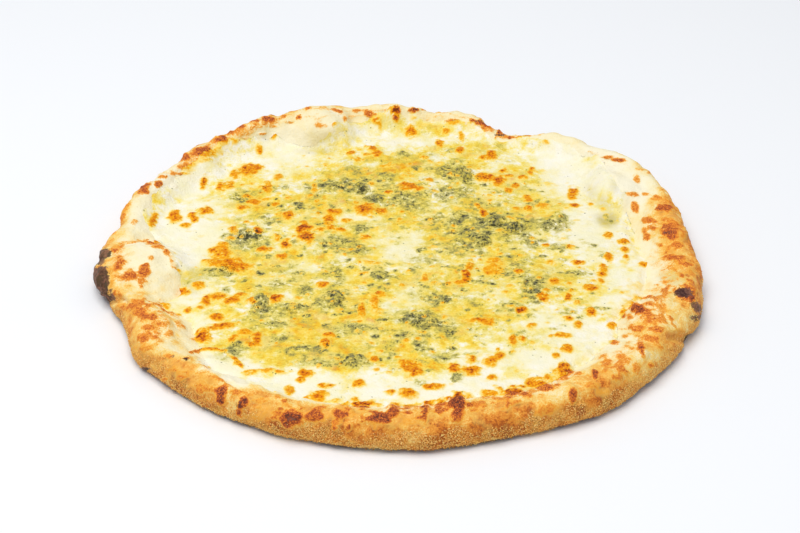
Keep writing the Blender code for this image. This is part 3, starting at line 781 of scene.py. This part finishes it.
def make_grains(mesh):
    """Thousands of small grains, half sunk in the dough's outer side, as one mesh."""
    draw = np.random.default_rng(5)
    points, normals = points_of(mesh), normals_of(mesh)
    grit, toast, char = (
        read(mesh.attributes[name].data, "value") for name in ("grit", "toast", "char")
    )
    height = points[:, 2]
    chance = np.clip(grit - 0.25, 0, 1) * (height > GRAIN_HEIGHTS[0]) * (height < GRAIN_HEIGHTS[1])
    chance = chance * np.clip(0.4 - points[:, 1] / 0.15, 0.2, 1.4)
    chance = chance * (1 + 0.7 * rough(points, 10, 51))
    chance = chance * np.clip(1 - 1.5 * toast, 0.05, 1) * np.clip(1.2 - 1.5 * char, 0, 1)
    chosen = draw.choice(len(points), GRAINS, p=chance / chance.sum())
    shape = bmesh.new()
    bmesh.ops.create_icosphere(shape, subdivisions=1, radius=1.0)
    ball = np.array([vert.co for vert in shape.verts])
    faces = np.array([[vert.index for vert in face.verts] for face in shape.faces])
    shape.free()
    size = draw.uniform(*GRAIN_SIZE, GRAINS)[:, None, None] * MM
    stretch = draw.uniform(*GRAIN_STRETCH, (GRAINS, 1, 3))
    slide = draw.normal(0, GRAIN_SLIDE, (GRAINS, 3))
    own = normals[chosen]
    slide -= own * np.sum(slide * own, axis=1)[:, None]
    middle = points[chosen] + slide + GRAIN_RISE * own
    grains = (middle[:, None, :] + size * stretch * ball).reshape(-1, 3)
    grains[:, 2] = np.maximum(grains[:, 2], 0.0)
    corners = (faces + np.arange(GRAINS)[:, None, None] * len(ball)).reshape(-1, 3)
    joined = bpy.data.meshes.new("grains")
    joined.from_pydata(grains.tolist(), [], corners.tolist())
    lay_on(joined, shade=np.repeat(draw.uniform(0, 1, GRAINS), len(ball)))
    return joined


def make_grain_material():
    material, shader, tree = shader_tree("semolina", 0.6, 0.14)
    colour = ramp(tree, attribute_value(tree, "shade"), (
        (0.0, 222, 152, 72), (0.5, 248, 194, 100), (1.0, 255, 226, 144),
    ))
    tree.links.new(colour, shader.inputs["Base Color"])
    return material


new_piece("semolina_grains", make_grains(dough_mesh), make_grain_material(), "crust")


# The melted cheese. Four kinds grated over the dough and melted in the oven: smooth white pools
# near the rim, a yellow field in the middle, and blistered, browned spots where the fat fried it.

CHEESE_SEGMENTS = 300
EDGE_THICKNESS = -0.3  # mm: the very edge lies just below the skin of the dough
LAYER_THICKNESS = 0.9  # mm
SKIRT_STEPS = (0.0, 0.4, 3.0, 7.0, 12.0, 18.0, 26.0, 40.0, 200.0)  # mm in from the edge, below
SKIRT_DEPTH = 0.8 * MM
CHEESE_RELIEF = ((0.36, 7, 71), (0.26, 3.2, 72))
MAP_REACH = 156 * MM
MAP_STEP = 1.5 * MM
GAP_PASSES = 16  # each fills the gaps outside a surface by one step more


def height_map(tree, passes):
    """Heights of a surface on a square grid, softened, with the gaps outside it filled."""
    half = math.ceil(MAP_REACH / MAP_STEP)
    line = np.arange(-half, half + 1) * MAP_STEP
    across, away = np.meshgrid(line, line, indexing="ij")
    grid = heights_on(tree, across.ravel(), away.ravel()).reshape(across.shape)
    for _ in range(GAP_PASSES):
        around = np.stack([np.roll(grid, shift, axis) for axis in (0, 1) for shift in (-1, 1)])
        known = np.isfinite(around)
        mean = np.where(known, around, 0).sum(0) / np.maximum(known.sum(0), 1)
        grid = np.where(np.isfinite(grid) | (known.sum(0) == 0), grid, mean)
    grid = np.nan_to_num(grid, nan=0.0)
    for _ in range(passes):
        grid = softened(softened(grid, 0), 1)
    return grid


def read_map(grid, points):
    """The height of a grid of heights at each point, evened between its four nearest."""
    half = len(grid) // 2
    place = np.clip(points[:, :2] / MAP_STEP + half, 0, 2 * half - 0.001)
    i, j = place.astype(int).T
    part_i, part_j = (place % 1).T
    near = grid[i, j] * (1 - part_i) + grid[i + 1, j] * part_i
    far = grid[i, j + 1] * (1 - part_i) + grid[i + 1, j + 1] * part_i
    return near * (1 - part_j) + far * part_j


# Browned blisters: across, away, width, depth, strength
BLISTERS = (
    (-71, 127, 5, 7), (-77, 110, 4, 7), (-104, 73, 3, 9), (-82, 86, 9, 9, 1.2), (-88, 81, 5, 6),
    (-76, 89, 5, 5), (-65, 78, 4, 5), (-95, 69, 4, 6), (-90, 70, 5, 7), (-70, 66, 5, 9),
    (-116, 36, 5, 9), (-100, 42, 7, 6, 1.2), (-126, 32, 4, 9), (-105, 33, 3, 4), (-107, 37, 4, 4),
    (-109, 27, 4, 4), (-81, 46, 7, 3), (-76, 52, 7, 4), (-80, 57, 6, 3, 0.8), (-57, 37, 6, 6, 1.4),
    (-45, 65, 3, 9, 0.6), (-34, 41, 7, 5, 1.1), (-36, 33, 6, 9, 1.1), (-18, 43, 9, 8, 1.3),
    (-10, 42, 7, 4, 1.1), (-49, 25, 8, 7, 1.2), (-47, 16, 8, 9, 1.2), (-57, 9, 4, 7, 1.3),
    (-40, 23, 5, 3), (-35, 24, 6, 3), (-30, 23, 5, 3), (-17, 15, 4, 3), (-15, 111, 5, 4),
    (-13, 105, 6, 5), (-18, 103, 4, 3), (-27, 105, 4, 3), (-7, 91, 9, 2, 0.8), (-6, 62, 4, 3),
    (-67, 3, 7, 4), (-58, -3, 5, 4), (-89, 0, 10, 12, 0.95), (-85, -9, 14, 6),
    (-80, -13, 14, 6, 1.05), (-92, -8, 8, 5, 0.9), (-85, 14, 5, 3), (-84, 23, 5, 5),
    (-72, 22, 4, 4, 1.2), (-88, 6, 6, 5, 0.9), (7, 131, 6, 10), (26, 131, 4, 5),
    (34, 125, 3, 7, 0.8), (22, 117, 4, 6), (33, 109, 4, 5), (50, 103, 5, 8, 1.1), (46, 100, 5, 3),
    (13, 99, 4, 3, 0.8), (5, 93, 3, 3, 0.8), (47, 77, 11, 6, 1.2), (53, 75, 6, 8, 1.1),
    (44, 80, 5, 4), (58, 80, 6, 3), (52, 71, 6, 3), (55, 85, 4, 3), (66, 78, 5, 3), (70, 83, 3, 4),
    (71, 87, 3, 4), (61, 69, 4, 5), (57, 63, 4, 3), (67, 55, 5, 5), (66, 45, 4, 4),
    (74, 47, 6, 4, 0.7), (90, 60, 4, 9), (92, 63, 4, 4), (90, 48, 5, 3, 1.1), (40, 48, 3, 3),
    (43, 40, 4, 6, 1.1), (5, 67, 10, 7), (10, 65, 5, 4), (2, 70, 5, 4), (15, 75, 4, 3, 0.8),
    (105, 18, 4, 5), (112, 11, 5, 4), (112, 3, 4, 4), (73, 8, 3, 3), (85, 6, 4, 3),
    (-104, -36, 6, 5), (-92, -43, 4, 8), (-87, -40, 8, 5), (-80, -43, 8, 5), (-76, -38, 5, 3),
    (-70, -44, 5, 3), (-59, -42, 6, 5, 1.3), (-37, -30, 5, 4), (-60, -3, 4, 3),
    (-14, -9, 9, 3, 0.6), (-82, -65, 10, 4), (-86, -58, 6, 4), (-91, -73, 6, 7, 1.4),
    (-90, -77, 8, 4, 0.8), (-77, -76, 4, 5), (-66, -76, 5, 7, 1.1), (-67, -81, 9, 3),
    (-72, -70, 6, 4, 0.8), (-33, -73, 5, 3), (-34, -80, 5, 5, 1.1), (-12, -93, 4, 3),
    (-10, -37, 5, 3), (-12, -43, 4, 9, 0.9), (-10, -52, 7, 4, 0.5), (-18, -52, 3, 10, 0.9),
    (-42, -104, 6, 5), (-44, -108, 4, 3), (-33, -113, 6, 3), (-36, -121, 8, 6),
    (-49, -117, 4, 5, 0.9), (-19, -111, 5, 4), (-20, -123, 4, 3), (-60, -102, 6, 3, 0.7),
    (-67, -103, 6, 3, 0.7), (-53, -103, 5, 2, 0.7), (41, -94, 6, 5, 1.1), (45, -90, 4, 5),
    (24, -100, 5, 5, 1.1), (32, -101, 8, 5, 1.2), (4, -98, 9, 8), (7, -103, 6, 4, 1.1),
    (3, -95, 10, 3), (33, -92, 5, 4), (41, -107, 4, 3), (15, -114, 8, 3), (3, -119, 8, 4, 1.2),
    (-4, -118, 5, 3, 0.8), (76, -84, 5, 4), (71, -90, 3, 3), (68, -41, 6, 5, 1.1), (80, -40, 3, 5),
    (57, -52, 5, 4, 1.3), (38, -60, 12, 3, 1.2), (42, -63, 6, 3, 0.9), (75, -27, 5, 4),
    (92, -32, 7, 4, 1.2), (58, -18, 5, 3, 1.2), (97, -26, 4, 4), (88, -9, 6, 3, 1.1),
    (99, -14, 4, 5), (98, -20, 4, 4), (103, -4, 4, 6), (112, -4, 3, 4), (119, -10, 4, 4),
    (32, -21, 4, 8, 1.1), (28, -27, 6, 3), (34, -13, 4, 6), (46, -13, 8, 12, 0.7),
    (47, -8, 4, 5, 0.8), (42, -17, 4, 5, 0.8), (12, -23, 3, 6, 0.8), (90, -53, 4, 5, 1.1),
    (79, -59, 5, 3), (83, -65, 3, 5), (74, -73, 8, 3), (52, -77, 4, 5), (56, -75, 4, 3),
    (61, -65, 4, 3), (74, -8, 4, 3, 0.8), (98, -65, 4, 4), (-113, 34, 3, 5, 0.9),
    (24, -28, 4, 3, 0.8), (84, -45, 3, 3, 0.8), (60, 45, 4, 3, 0.7), (70, -35, 4, 2, 0.7),
    (-97, -30, 5, 4, 0.8), (-100, -52, 3, 3), (-94, -50, 4, 2, 0.9), (-87, -67, 6, 3, 0.9),
    (-97, -77, 4, 3, 0.8), (-62, 14, 3, 3, 0.8), (-27, 33, 5, 3, 0.9), (-64, 49, 5, 3, 0.8),
    (-58, 55, 4, 3, 0.7), (-70, 54, 5, 3, 0.7), (80, 118, 4, 4, 0.6), (-52, -125, 3, 4, 0.9),
)
# Smooth white pools, and where the cheese is deepest yellow
WHITE_POOLS = (
    (-106, 16, 44, 58, 1.1), (-112, 80, 24, 56), (-66, 108, 34, 46, 0.9), (-22, 134, 26, 30, 0.6),
    (12, 120, 44, 10, 0.7), (92, 86, 48, 62), (96, 22, 38, 44), (114, -20, 30, 42),
    (82, -72, 50, 34, 0.8), (66, -92, 34, 20), (20, -116, 90, 18), (-46, -114, 60, 22),
    (-84, -98, 36, 24, 1.2), (-102, -38, 26, 34, 0.8), (-98, -62, 22, 24, 0.7),
    (-1, 6, 28, 28, 0.9), (-22, 35, 18, 9), (-46, -12, 16, 10, 0.6), (-62, -24, 14, 10, 0.5),
    (2, -46, 16, 18, 0.6), (60, 6, 14, 8, 0.6), (-62, 5, 14, 6, 0.6), (-30, -25, 16, 8, 0.7),
    (40, -92, 40, 14, 0.7), (104, -46, 22, 30, 0.8), (78, 64, 26, 18, 0.7), (-92, 50, 12, 24, 0.5),
    (100, -2, 26, 20, 0.6), (50, -38, 14, 8, 0.5), (-52, 34, 12, 10, 0.5), (-55, -40, 12, 10, 0.5),
    (88, -30, 12, 8, 0.4), (68, -52, 14, 10, 0.4),
)
YELLOW_FIELD = (
    (-5, 84, 90, 42), (0, 20, 170, 110, 0.75), (-8, -50, 170, 96, 0.75), (-48, 44, 50, 40),
    (-74, 54, 34, 26, 0.8), (-58, -76, 56, 44), (-18, -84, 90, 32), (68, 44, 44, 40, 0.9),
    (50, -14, 40, 36, 0.8), (64, 74, 34, 36, 0.9), (30, -60, 60, 36, 0.8), (72, -14, 34, 30, 0.7),
    (-66, -12, 44, 34, 0.8), (14, 134, 34, 22, 0.6), (-14, 144, 30, 20, 0.6),
    (40, 108, 36, 22, 0.7), (-86, -4, 24, 26), (4, -100, 30, 20, 0.8), (-6, 96, 50, 16),
    (118, 52, 20, 20, 0.3),
)
# Patches of blue cheese melted into the rest, and the dark, mouldy cores in them
BLUE_PATCHES = (
    (-77, 17, 22, 20), (-30, 66, 34, 18, 0.9), (-6, 68, 18, 10, 0.6), (-15, 55, 12, 9),
    (5, 50, 22, 20, 0.8), (-84, 58, 10, 16, 0.8), (-84, 34, 8, 8, 0.8), (-65, 33, 8, 8, 0.8),
    (-38, 28, 8, 6, 0.7), (-21, 25, 8, 10, 0.8), (-34, 10, 26, 12), (-24, 3, 14, 6, 0.8),
    (-26, 84, 12, 8, 0.5), (30, 82, 18, 20), (46, 28, 38, 26, 1.1), (36, 34, 22, 16, 0.9),
    (20, 30, 22, 12, 0.6), (78, 30, 16, 14), (24, 62, 18, 16, 0.8), (28, 108, 6, 6, 0.7),
    (1.5, 106, 4, 6), (40, 12, 14, 12, 0.9), (28, 14, 16, 10, 0.7), (67, 8, 14, 10, 0.9),
    (82, 6, 10, 6, 0.8), (96, 7, 6, 4, 0.9), (-86, -15, 9, 13), (-67, -45, 8, 22),
    (-61, -28, 9, 9, 0.9), (-55, -50, 16, 10), (-46, -37, 9, 10, 0.9), (-31, -17, 14, 12),
    (-33, -42, 14, 20), (-10, -23, 12, 7), (-57, -65, 12, 8, 0.8), (-24, -67, 14, 8, 0.8),
    (-45, -85, 16, 10, 0.8), (-23, -94, 16, 9, 1.1), (-38, -95, 14, 8, 0.8),
    (-74, -87, 12, 14, 0.9), (-106, -64, 8, 14, 0.5), (52, -20, 10, 8, 0.8), (62, -30, 14, 22),
    (65, -35, 12, 8), (77, -34, 10, 6), (85, -18, 14, 6, 0.8), (92, -50, 14, 3), (18, -42, 12, 18),
    (10, -62, 20, 16, 1.1), (23, -70, 9, 8), (8, -81, 7, 7, 1.1), (20, -90, 10, 7),
    (25, -107, 5, 8), (8, -110, 5, 5), (40, -27, 8, 8, 0.8), (52, -50, 12, 9, 0.8),
    (79, -53, 8, 5, 0.8), (12, -6, 14, 8, 0.5), (60, -5, 12, 10, 0.7), (30, 2, 14, 8, 0.6),
    (44, 48, 20, 12, 0.6), (-68, 64, 8, 6, 0.6), (8, -40, 14, 8, 0.7), (-75, -25, 8, 6, 0.6),
    (-96, -20, 10, 14, 0.4), (-100, -28, 10, 14, 0.4), (56, 60, 10, 8, 0.4), (-2, -70, 14, 8, 0.6),
    (36, -45, 10, 8, 0.6), (32, 60, 14, 22, 0.7), (2, 36, 18, 8, 0.5), (60, 96, 6, 4, 0.5),
    (-50, -76, 12, 6, 0.5),
)
BLUE_CORES = (
    (-77, 17, 11, 9, 1.3), (-20, 65, 6, 14, 1.1), (-15, 55, 6, 5), (-32, 66, 12, 8, 0.5),
    (-84, 57, 3, 8, 0.8), (-27, 12, 8, 4), (-36, 9, 5, 4, 0.9), (-23, 3, 4, 3), (56, 25, 9, 11),
    (50, 34, 9, 6, 0.6), (43, 12, 5, 4, 0.9), (78, 28, 6, 7, 0.9), (83, 35, 7, 3),
    (30, 84, 8, 7, 0.6), (26, 78, 4, 6, 0.8), (35, 76, 4, 8, 0.7), (5, 54, 8, 5, 0.5),
    (1.5, 106, 2, 5), (-86, -15, 5, 8, 0.9), (-67, -46, 4, 14, 0.8), (-50, -49, 5, 5, 0.7),
    (-61, -30, 4, 5, 0.7), (-31, -17, 6, 5, 0.7), (-33, -44, 6, 10, 0.6), (-9, -23, 9, 3),
    (-22, -94, 9, 5, 0.9), (8, -81, 4, 4, 1.1), (22, -70, 4, 4), (11, -62, 10, 8, 0.5),
    (62, -35, 5, 4, 0.9), (66, -33, 3, 8, 0.7), (85, -18, 8, 2), (92, -50, 9, 2, 0.8),
    (25, -107, 4, 5, 0.8), (8, -110, 3, 3, 0.8), (18, -91, 6, 3, 0.8), (-38, -95, 5, 3, 0.6),
    (67, 8, 4, 3, 0.8), (96, 7, 3, 2), (40, -27, 4, 3, 0.7), (18, -40, 4, 6, 0.6),
    (-74, -88, 4, 5, 0.6), (106, 37, 2.5, 6, 0.6), (108, 31, 2.5, 6, 0.6), (88, 5, 4, 2, 0.8),
    (57, 4, 5, 3, 0.7),
)
BLISTER_DEEPER = 1.35  # the blisters stand proud, and their near sides hide less than was read
# Marks strewn at random: seed, count, reach, spread, widths, flatness, strengths, middle
SPECKS = (77, 800, 116, 0.6, (1.0, 3.4), (0.6, 1.1), (0.15, 0.8), (0, 0))
MOULD_FLECKS = (91, 620, 98, 0.55, (1.4, 4.6), (0.5, 1.0), (0.4, 1.5), (4, -6))


def strewn(seed, count, reach, spread, widths, flatness, strengths, middle):
    """Small marks strewn over the cheese: across, away, width, depth, strength."""
    draw = np.random.default_rng(seed)
    turn = draw.uniform(0, math.tau, count)
    far = reach * draw.uniform(0, 1, count) ** spread
    width = draw.uniform(*widths, count)
    depth = width * draw.uniform(*flatness, count)
    across, away = middle[0] + far * np.cos(turn), middle[1] + far * np.sin(turn)
    return list(zip(across, away, width, depth, draw.uniform(*strengths, count)))


def square_to_disc(square):
    """The angle and the share of the radius of each point of a square, spread over a disc."""
    wide = abs(square[:, 0]) >= abs(square[:, 1])
    lead = np.where(wide, square[:, 0], square[:, 1])
    share = np.where(wide, square[:, 1], square[:, 0]) / np.where(lead == 0, 1, lead)
    turn = share * math.pi / 4
    turn = np.where(wide, turn, math.pi / 2 - turn) + math.pi * (lead < 0)
    return turn, np.abs(lead)


def draped_disc(segments, skirts):
    """A closed mesh to be draped: a square grid on top, rings of skirt round it and a fan below.

    It comes with the angle of each point, its share of the radius, its way out from the middle and
    its ring, which is 0 on top.
    """
    shape = bmesh.new()
    bmesh.ops.create_grid(shape, x_segments=segments, y_segments=segments, size=1.0)
    top_count = len(shape.verts)
    ring = [edge for edge in shape.edges if edge.is_boundary]
    for _ in range(skirts):
        ring = next_ring(shape, ring)[1]
    close_ring(shape, ring)
    mesh = closed_mesh(shape)
    turn, reach = square_to_disc(points_of(mesh)[:, :2])
    way_out = np.column_stack((np.cos(turn), np.sin(turn), np.zeros(len(turn))))
    below = np.arange(len(turn)) - top_count
    per_ring = (len(turn) - top_count - 1) // skirts
    layer = np.where(below < 0, 0, 1 + np.minimum(below // per_ring, skirts))
    return mesh, turn, reach, way_out, layer


def make_cheese_mesh():
    """The cheese as one closed layer: its top, its edge on the dough and its underside."""
    mesh, turn, reach, way_out, layer = draped_disc(CHEESE_SEGMENTS, len(SKIRT_STEPS) - 2)
    round_rim = way_out * 0.13
    wavy = 0.8 * rough(round_rim, 4, 11) + 1.2 * rough(round_rim, 11, 12)
    edge = edge_of_cheese(turn) + MM * wavy
    radius = np.maximum(reach * edge - np.array(SKIRT_STEPS)[layer] * MM, 0)
    points = radius[:, None] * way_out
    cheese_map = height_map(surface_of(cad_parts["melted_cheese"].data), 6)
    dough_map = height_map(surface_of(dough_mesh), 1)
    base, dough_level = read_map(cheese_map, points), read_map(dough_map, points)
    inside = (edge - radius) / MM
    thickness = EDGE_THICKNESS + (LAYER_THICKNESS - EDGE_THICKNESS) * ease(inside / 4)
    on_dough = dough_level + thickness * MM
    height = on_dough + (np.maximum(base, on_dough) - on_dough) * ease(inside / 6)
    under = np.minimum(dough_level, base - 1 * MM) - SKIRT_DEPTH
    points[:, 2] = np.where(layer == 0, height, under)
    set_points(mesh, points)
    return mesh, layer


def cheese_fields(points):
    """How yellow, white, browned and blue the cheese is at each point, mostly 0 to 1, and its
    painted shade.
    """
    places = sight_places(points)
    ragged = 0.5 * rough(points, 2.8, 61)
    field = spots(places, YELLOW_FIELD, 0.6 * rough(points, 12, 62), 0.7)
    white = spots(places, WHITE_POOLS, 0.6 * rough(points, 9, 63), 0.6)
    plain = 1 - np.minimum(white, 1)
    yellow = (0.22 + 0.48 * field) * (0.3 + 0.7 * plain)
    yellow += (0.22 * rough(points, 9, 64) + 0.16 * lumps(points, 3, 60)) * (0.25 + 0.75 * plain)
    brown = spots(places, resized(BLISTERS, 1, BLISTER_DEEPER), ragged, 0.6)
    specks = spots(places, strewn(*SPECKS), 0.5 * rough(points, 2, 65), 0.6)
    brown = np.maximum(brown, specks * (0.2 + 0.8 * plain))
    brown = np.maximum(brown, toast_at(points))
    blue = 0.75 * spots(places, BLUE_PATCHES, 0.8 * rough(points, 6, 66), 0.6)
    blue += 0.22 * field * plain * (1 + 1.4 * rough(points, 6, 69))
    blue *= 0.68 * (1 + 0.7 * rough(points, 4, 67))
    flecks = spots(places, strewn(*MOULD_FLECKS), 0.7 * rough(points, 2.5, 70), 0.6)
    blue = np.maximum(blue, 0.62 * flecks * (0.25 + 0.75 * plain))
    core = 0.95 * spots(places, BLUE_CORES, 0.6 * rough(points, 3, 68), 0.5)
    blue = np.maximum(blue, core)
    # painted shade in the hollows, from the same marks as on the dough
    hollow = spots(places, PAINTED_SHADE_AND_OLIVE, 0.3 * rough(points, 6, 45), 0.7)
    return {"yellow": yellow, "white": white, "brown": brown, "blue": blue, "hollow": hollow}


def finish_cheese(mesh, layer):
    """Raises the blisters and the crumbs of blue cheese, and lays the colours on the points."""
    points = points_of(mesh)
    fields = cheese_fields(points)
    relief = layered(points, *CHEESE_RELIEF) * (1 - 0.6 * np.minimum(fields["white"], 1))
    relief += 0.6 * ease(fields["brown"] / 0.8) * (1 + 0.3 * lumps(points, 2.0, 74))
    relief += np.clip(fields["blue"], 0, 1) * (0.4 + 0.5 * lumps(points, 2.2, 73))
    points[:, 2] += np.where(layer == 0, relief * MM, 0.0)
    set_points(mesh, points)
    lay_on(mesh, **fields)


def make_cheese_material():
    """Melted cheese: cream to yellow, bright-rimmed brown blisters, mould in the blue parts,
    painted shade in hollows.
    """
    material, shader, tree = shader_tree("melted_cheese", 0.42, 0.10)
    clump, fine, wide = (around_zero(tree, size) for size in (2.6, 1.1, 7.0))
    uneven = weighed(tree, times(tree, wide, 0.22), (clump, 0.20), (fine, 0.15))
    plain = clamped(tree, attribute_value(tree, "white"), -0.85, 1.0)
    tone = weighed(tree, attribute_value(tree, "yellow"), (uneven, plain))
    colour = ramp(tree, tone, (
        (0.0, 252, 248, 230), (0.18, 251, 243, 200), (0.4, 249, 230, 136),
        (0.62, 248, 216, 78), (0.84, 244, 192, 42), (1.0, 238, 160, 24),
    ))
    wet = clamped(tree, around_zero(tree, 11.0), 0.6, 0.0, 0.3)
    colour = blend(tree, wet, colour, (244, 240, 192))
    # painted shade: an olive tint where shade falls in the hollows
    colour = blend(tree, times(tree, attribute_value(tree, "hollow"), 0.6), colour, (200, 182, 96))
    mouldy = weighed(tree, 1.0, (clump, 0.9), (fine, 0.6))
    patch = times(tree, attribute_value(tree, "blue"), mouldy)
    for gain, shift, most, tint in (
        (2.2, -0.1, 0.75, (210, 196, 86)), (1.8, -0.6, 0.8, (150, 144, 82)),
        (1.6, -1.3, 0.7, (104, 104, 92)),
    ):
        colour = blend(tree, clamped(tree, patch, gain, shift, most), colour, tint)
    blistered = attribute_value(tree, "brown")
    brown = times(tree, blistered, weighed(tree, 1.0, (clump, 0.5), (fine, 0.5)))
    colour = blend(tree, clamped(tree, blistered, 2.0, 0.0, 0.7), colour, (252, 222, 110))
    browned = ramp(tree, times(tree, brown, 0.52), (
        (0.06, 254, 226, 100), (0.18, 252, 204, 56), (0.32, 247, 178, 20), (0.48, 238, 150, 4),
        (0.62, 220, 118, 0), (0.76, 182, 82, 4), (0.92, 122, 52, 12),
    ))
    colour = blend(tree, clamped(tree, brown, 1.9, -0.1), colour, browned)
    for size, bent, gain in ((2.4, 3.0, 0.29), (1.2, 1.6, 0.32)):
        spread = weighed(tree, times(tree, plain, 0.05), (patch, gain))
        speck = worked(tree, "SUBTRACT", spread, cells(tree, size, bent))
        colour = blend(tree, clamped(tree, speck, 8.0, 0.3, 0.8), colour, (66, 66, 36))
    point = clamped(tree, cells(tree, 4.0, 2.0), -9.0, 1.2, 0.8)
    here = clamped(tree, around_zero(tree, 8.0), 2.0, 0.6)
    colour = blend(tree, times(tree, point, here), colour, (86, 84, 40))
    tree.links.new(colour, shader.inputs["Base Color"])
    bumped(tree, shader, worked(tree, "ADD", fine, clump), 0.14, 0.8)
    return material


cheese_mesh, cheese_rings = make_cheese_mesh()
finish_cheese(cheese_mesh, cheese_rings)
cheese_material = make_cheese_material()
new_piece("cheese_layer", cheese_mesh, cheese_material, "melted_cheese", "melted_cheese")


# The blue cheese. Soft, mouldy crumbs dropped on the pizza by hand, each slumped into a low, rough
# heap in the oven, with its rim run into the melted cheese round it.

CRUMB_SEGMENTS = 44
CRUMB_ROUNDNESS = 0.6
CRUMB_RISE = 0.62  # share of the solid's height above the cheese, as lumps stand higher
CRUMB_SUNK = 0.15 * MM
CRUMB_RELIEF = ((0.35, 3.2, 82), (0.3, 1.7, 83), (0.2, 0.9, 84))


def make_crumb(node, cheese_surface):
    """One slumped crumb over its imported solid: an uneven top, and a skirt sunk in the cheese."""
    mesh, _, reach, way_out, layer = draped_disc(CRUMB_SEGMENTS, 1)
    low, high = np.array(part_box(node))
    middle, half = (low + high) / 2, (high - low) / 2
    out = reach * (1 + 0.3 * rough(way_out * half.max() + middle, 3.0, 81))
    points = middle + out[:, None] * half * way_out
    level = heights_on(cheese_surface, points[:, 0], points[:, 1])
    crumbly = 1 + layered(points * (1, 1, 0), *CRUMB_RELIEF)
    dome = np.maximum(1 - reach ** 2, 0) ** CRUMB_ROUNDNESS
    top = level + dome * crumbly * (high[2] - level) * CRUMB_RISE - CRUMB_SUNK
    points[:, 2] = np.where(layer == 0, top, level - SKIRT_DEPTH)
    set_points(mesh, points)
    fields = cheese_fields(points)
    mould = 0.75 * ease(1.5 - reach) * (1 + 0.5 * rough(points, 3, 85))
    fields["blue"] = np.maximum(fields["blue"], mould)
    lay_on(mesh, **fields)
    new_piece(node.replace("blue_cheese", "crumb"), mesh, cheese_material, "blue_cheese", node)


cheese_surface = surface_of(cheese_mesh)
for node in sorted(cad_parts):
    if node.startswith("blue_cheese"):
        make_crumb(node, cheese_surface)


# The table and the light of the photo: a pale seamless floor, a large soft lamp above and a bright
# room all round, and the camera looking down at the pizza.

FLOOR_WIDTH = 12
LAMP_PLACE = Vector((-0.3, -0.2, 1.5))
LAMP_WIDTH = 1.2
LAMP_WATTS = 16.5
ROOM_LIGHT = 0.5
FILM_WIDTH = 36  # mm
LENS_LENGTH = 81.05  # mm


def aimed(thing, place):
    """Puts a lamp or a camera in its place, turned towards the pizza."""
    thing.location = place
    thing.rotation_euler = (AIM - place).to_track_quat("-Z", "Y").to_euler()
    return thing


bpy.ops.mesh.primitive_plane_add(size=FLOOR_WIDTH)
floor = bpy.context.object
floor.name = "floor"
floor_material, floor_shader, _ = shader_tree("pale_floor", 0.6, 0.2)
floor_shader.inputs["Base Color"].default_value = srgb(248, 250, 252)
floor.data.materials.append(floor_material)

lamp = bpy.data.lights.new("soft_lamp", "AREA")
lamp.shape = "SQUARE"
lamp.size = LAMP_WIDTH
lamp.energy = LAMP_WATTS
aimed(add_object("soft_lamp", lamp), LAMP_PLACE)

room = bpy.data.worlds.new("bright_room")
room.use_nodes = True
room.node_tree.nodes["Background"].inputs["Color"].default_value = srgb(250, 251, 255)
room.node_tree.nodes["Background"].inputs["Strength"].default_value = ROOM_LIGHT
bpy.context.scene.world = room
bpy.context.scene.view_settings.view_transform = "Standard"

camera = bpy.data.cameras.new("camera")
camera.sensor_width = FILM_WIDTH
camera.lens = LENS_LENGTH
bpy.context.scene.camera = aimed(add_object("camera", camera), EYE)
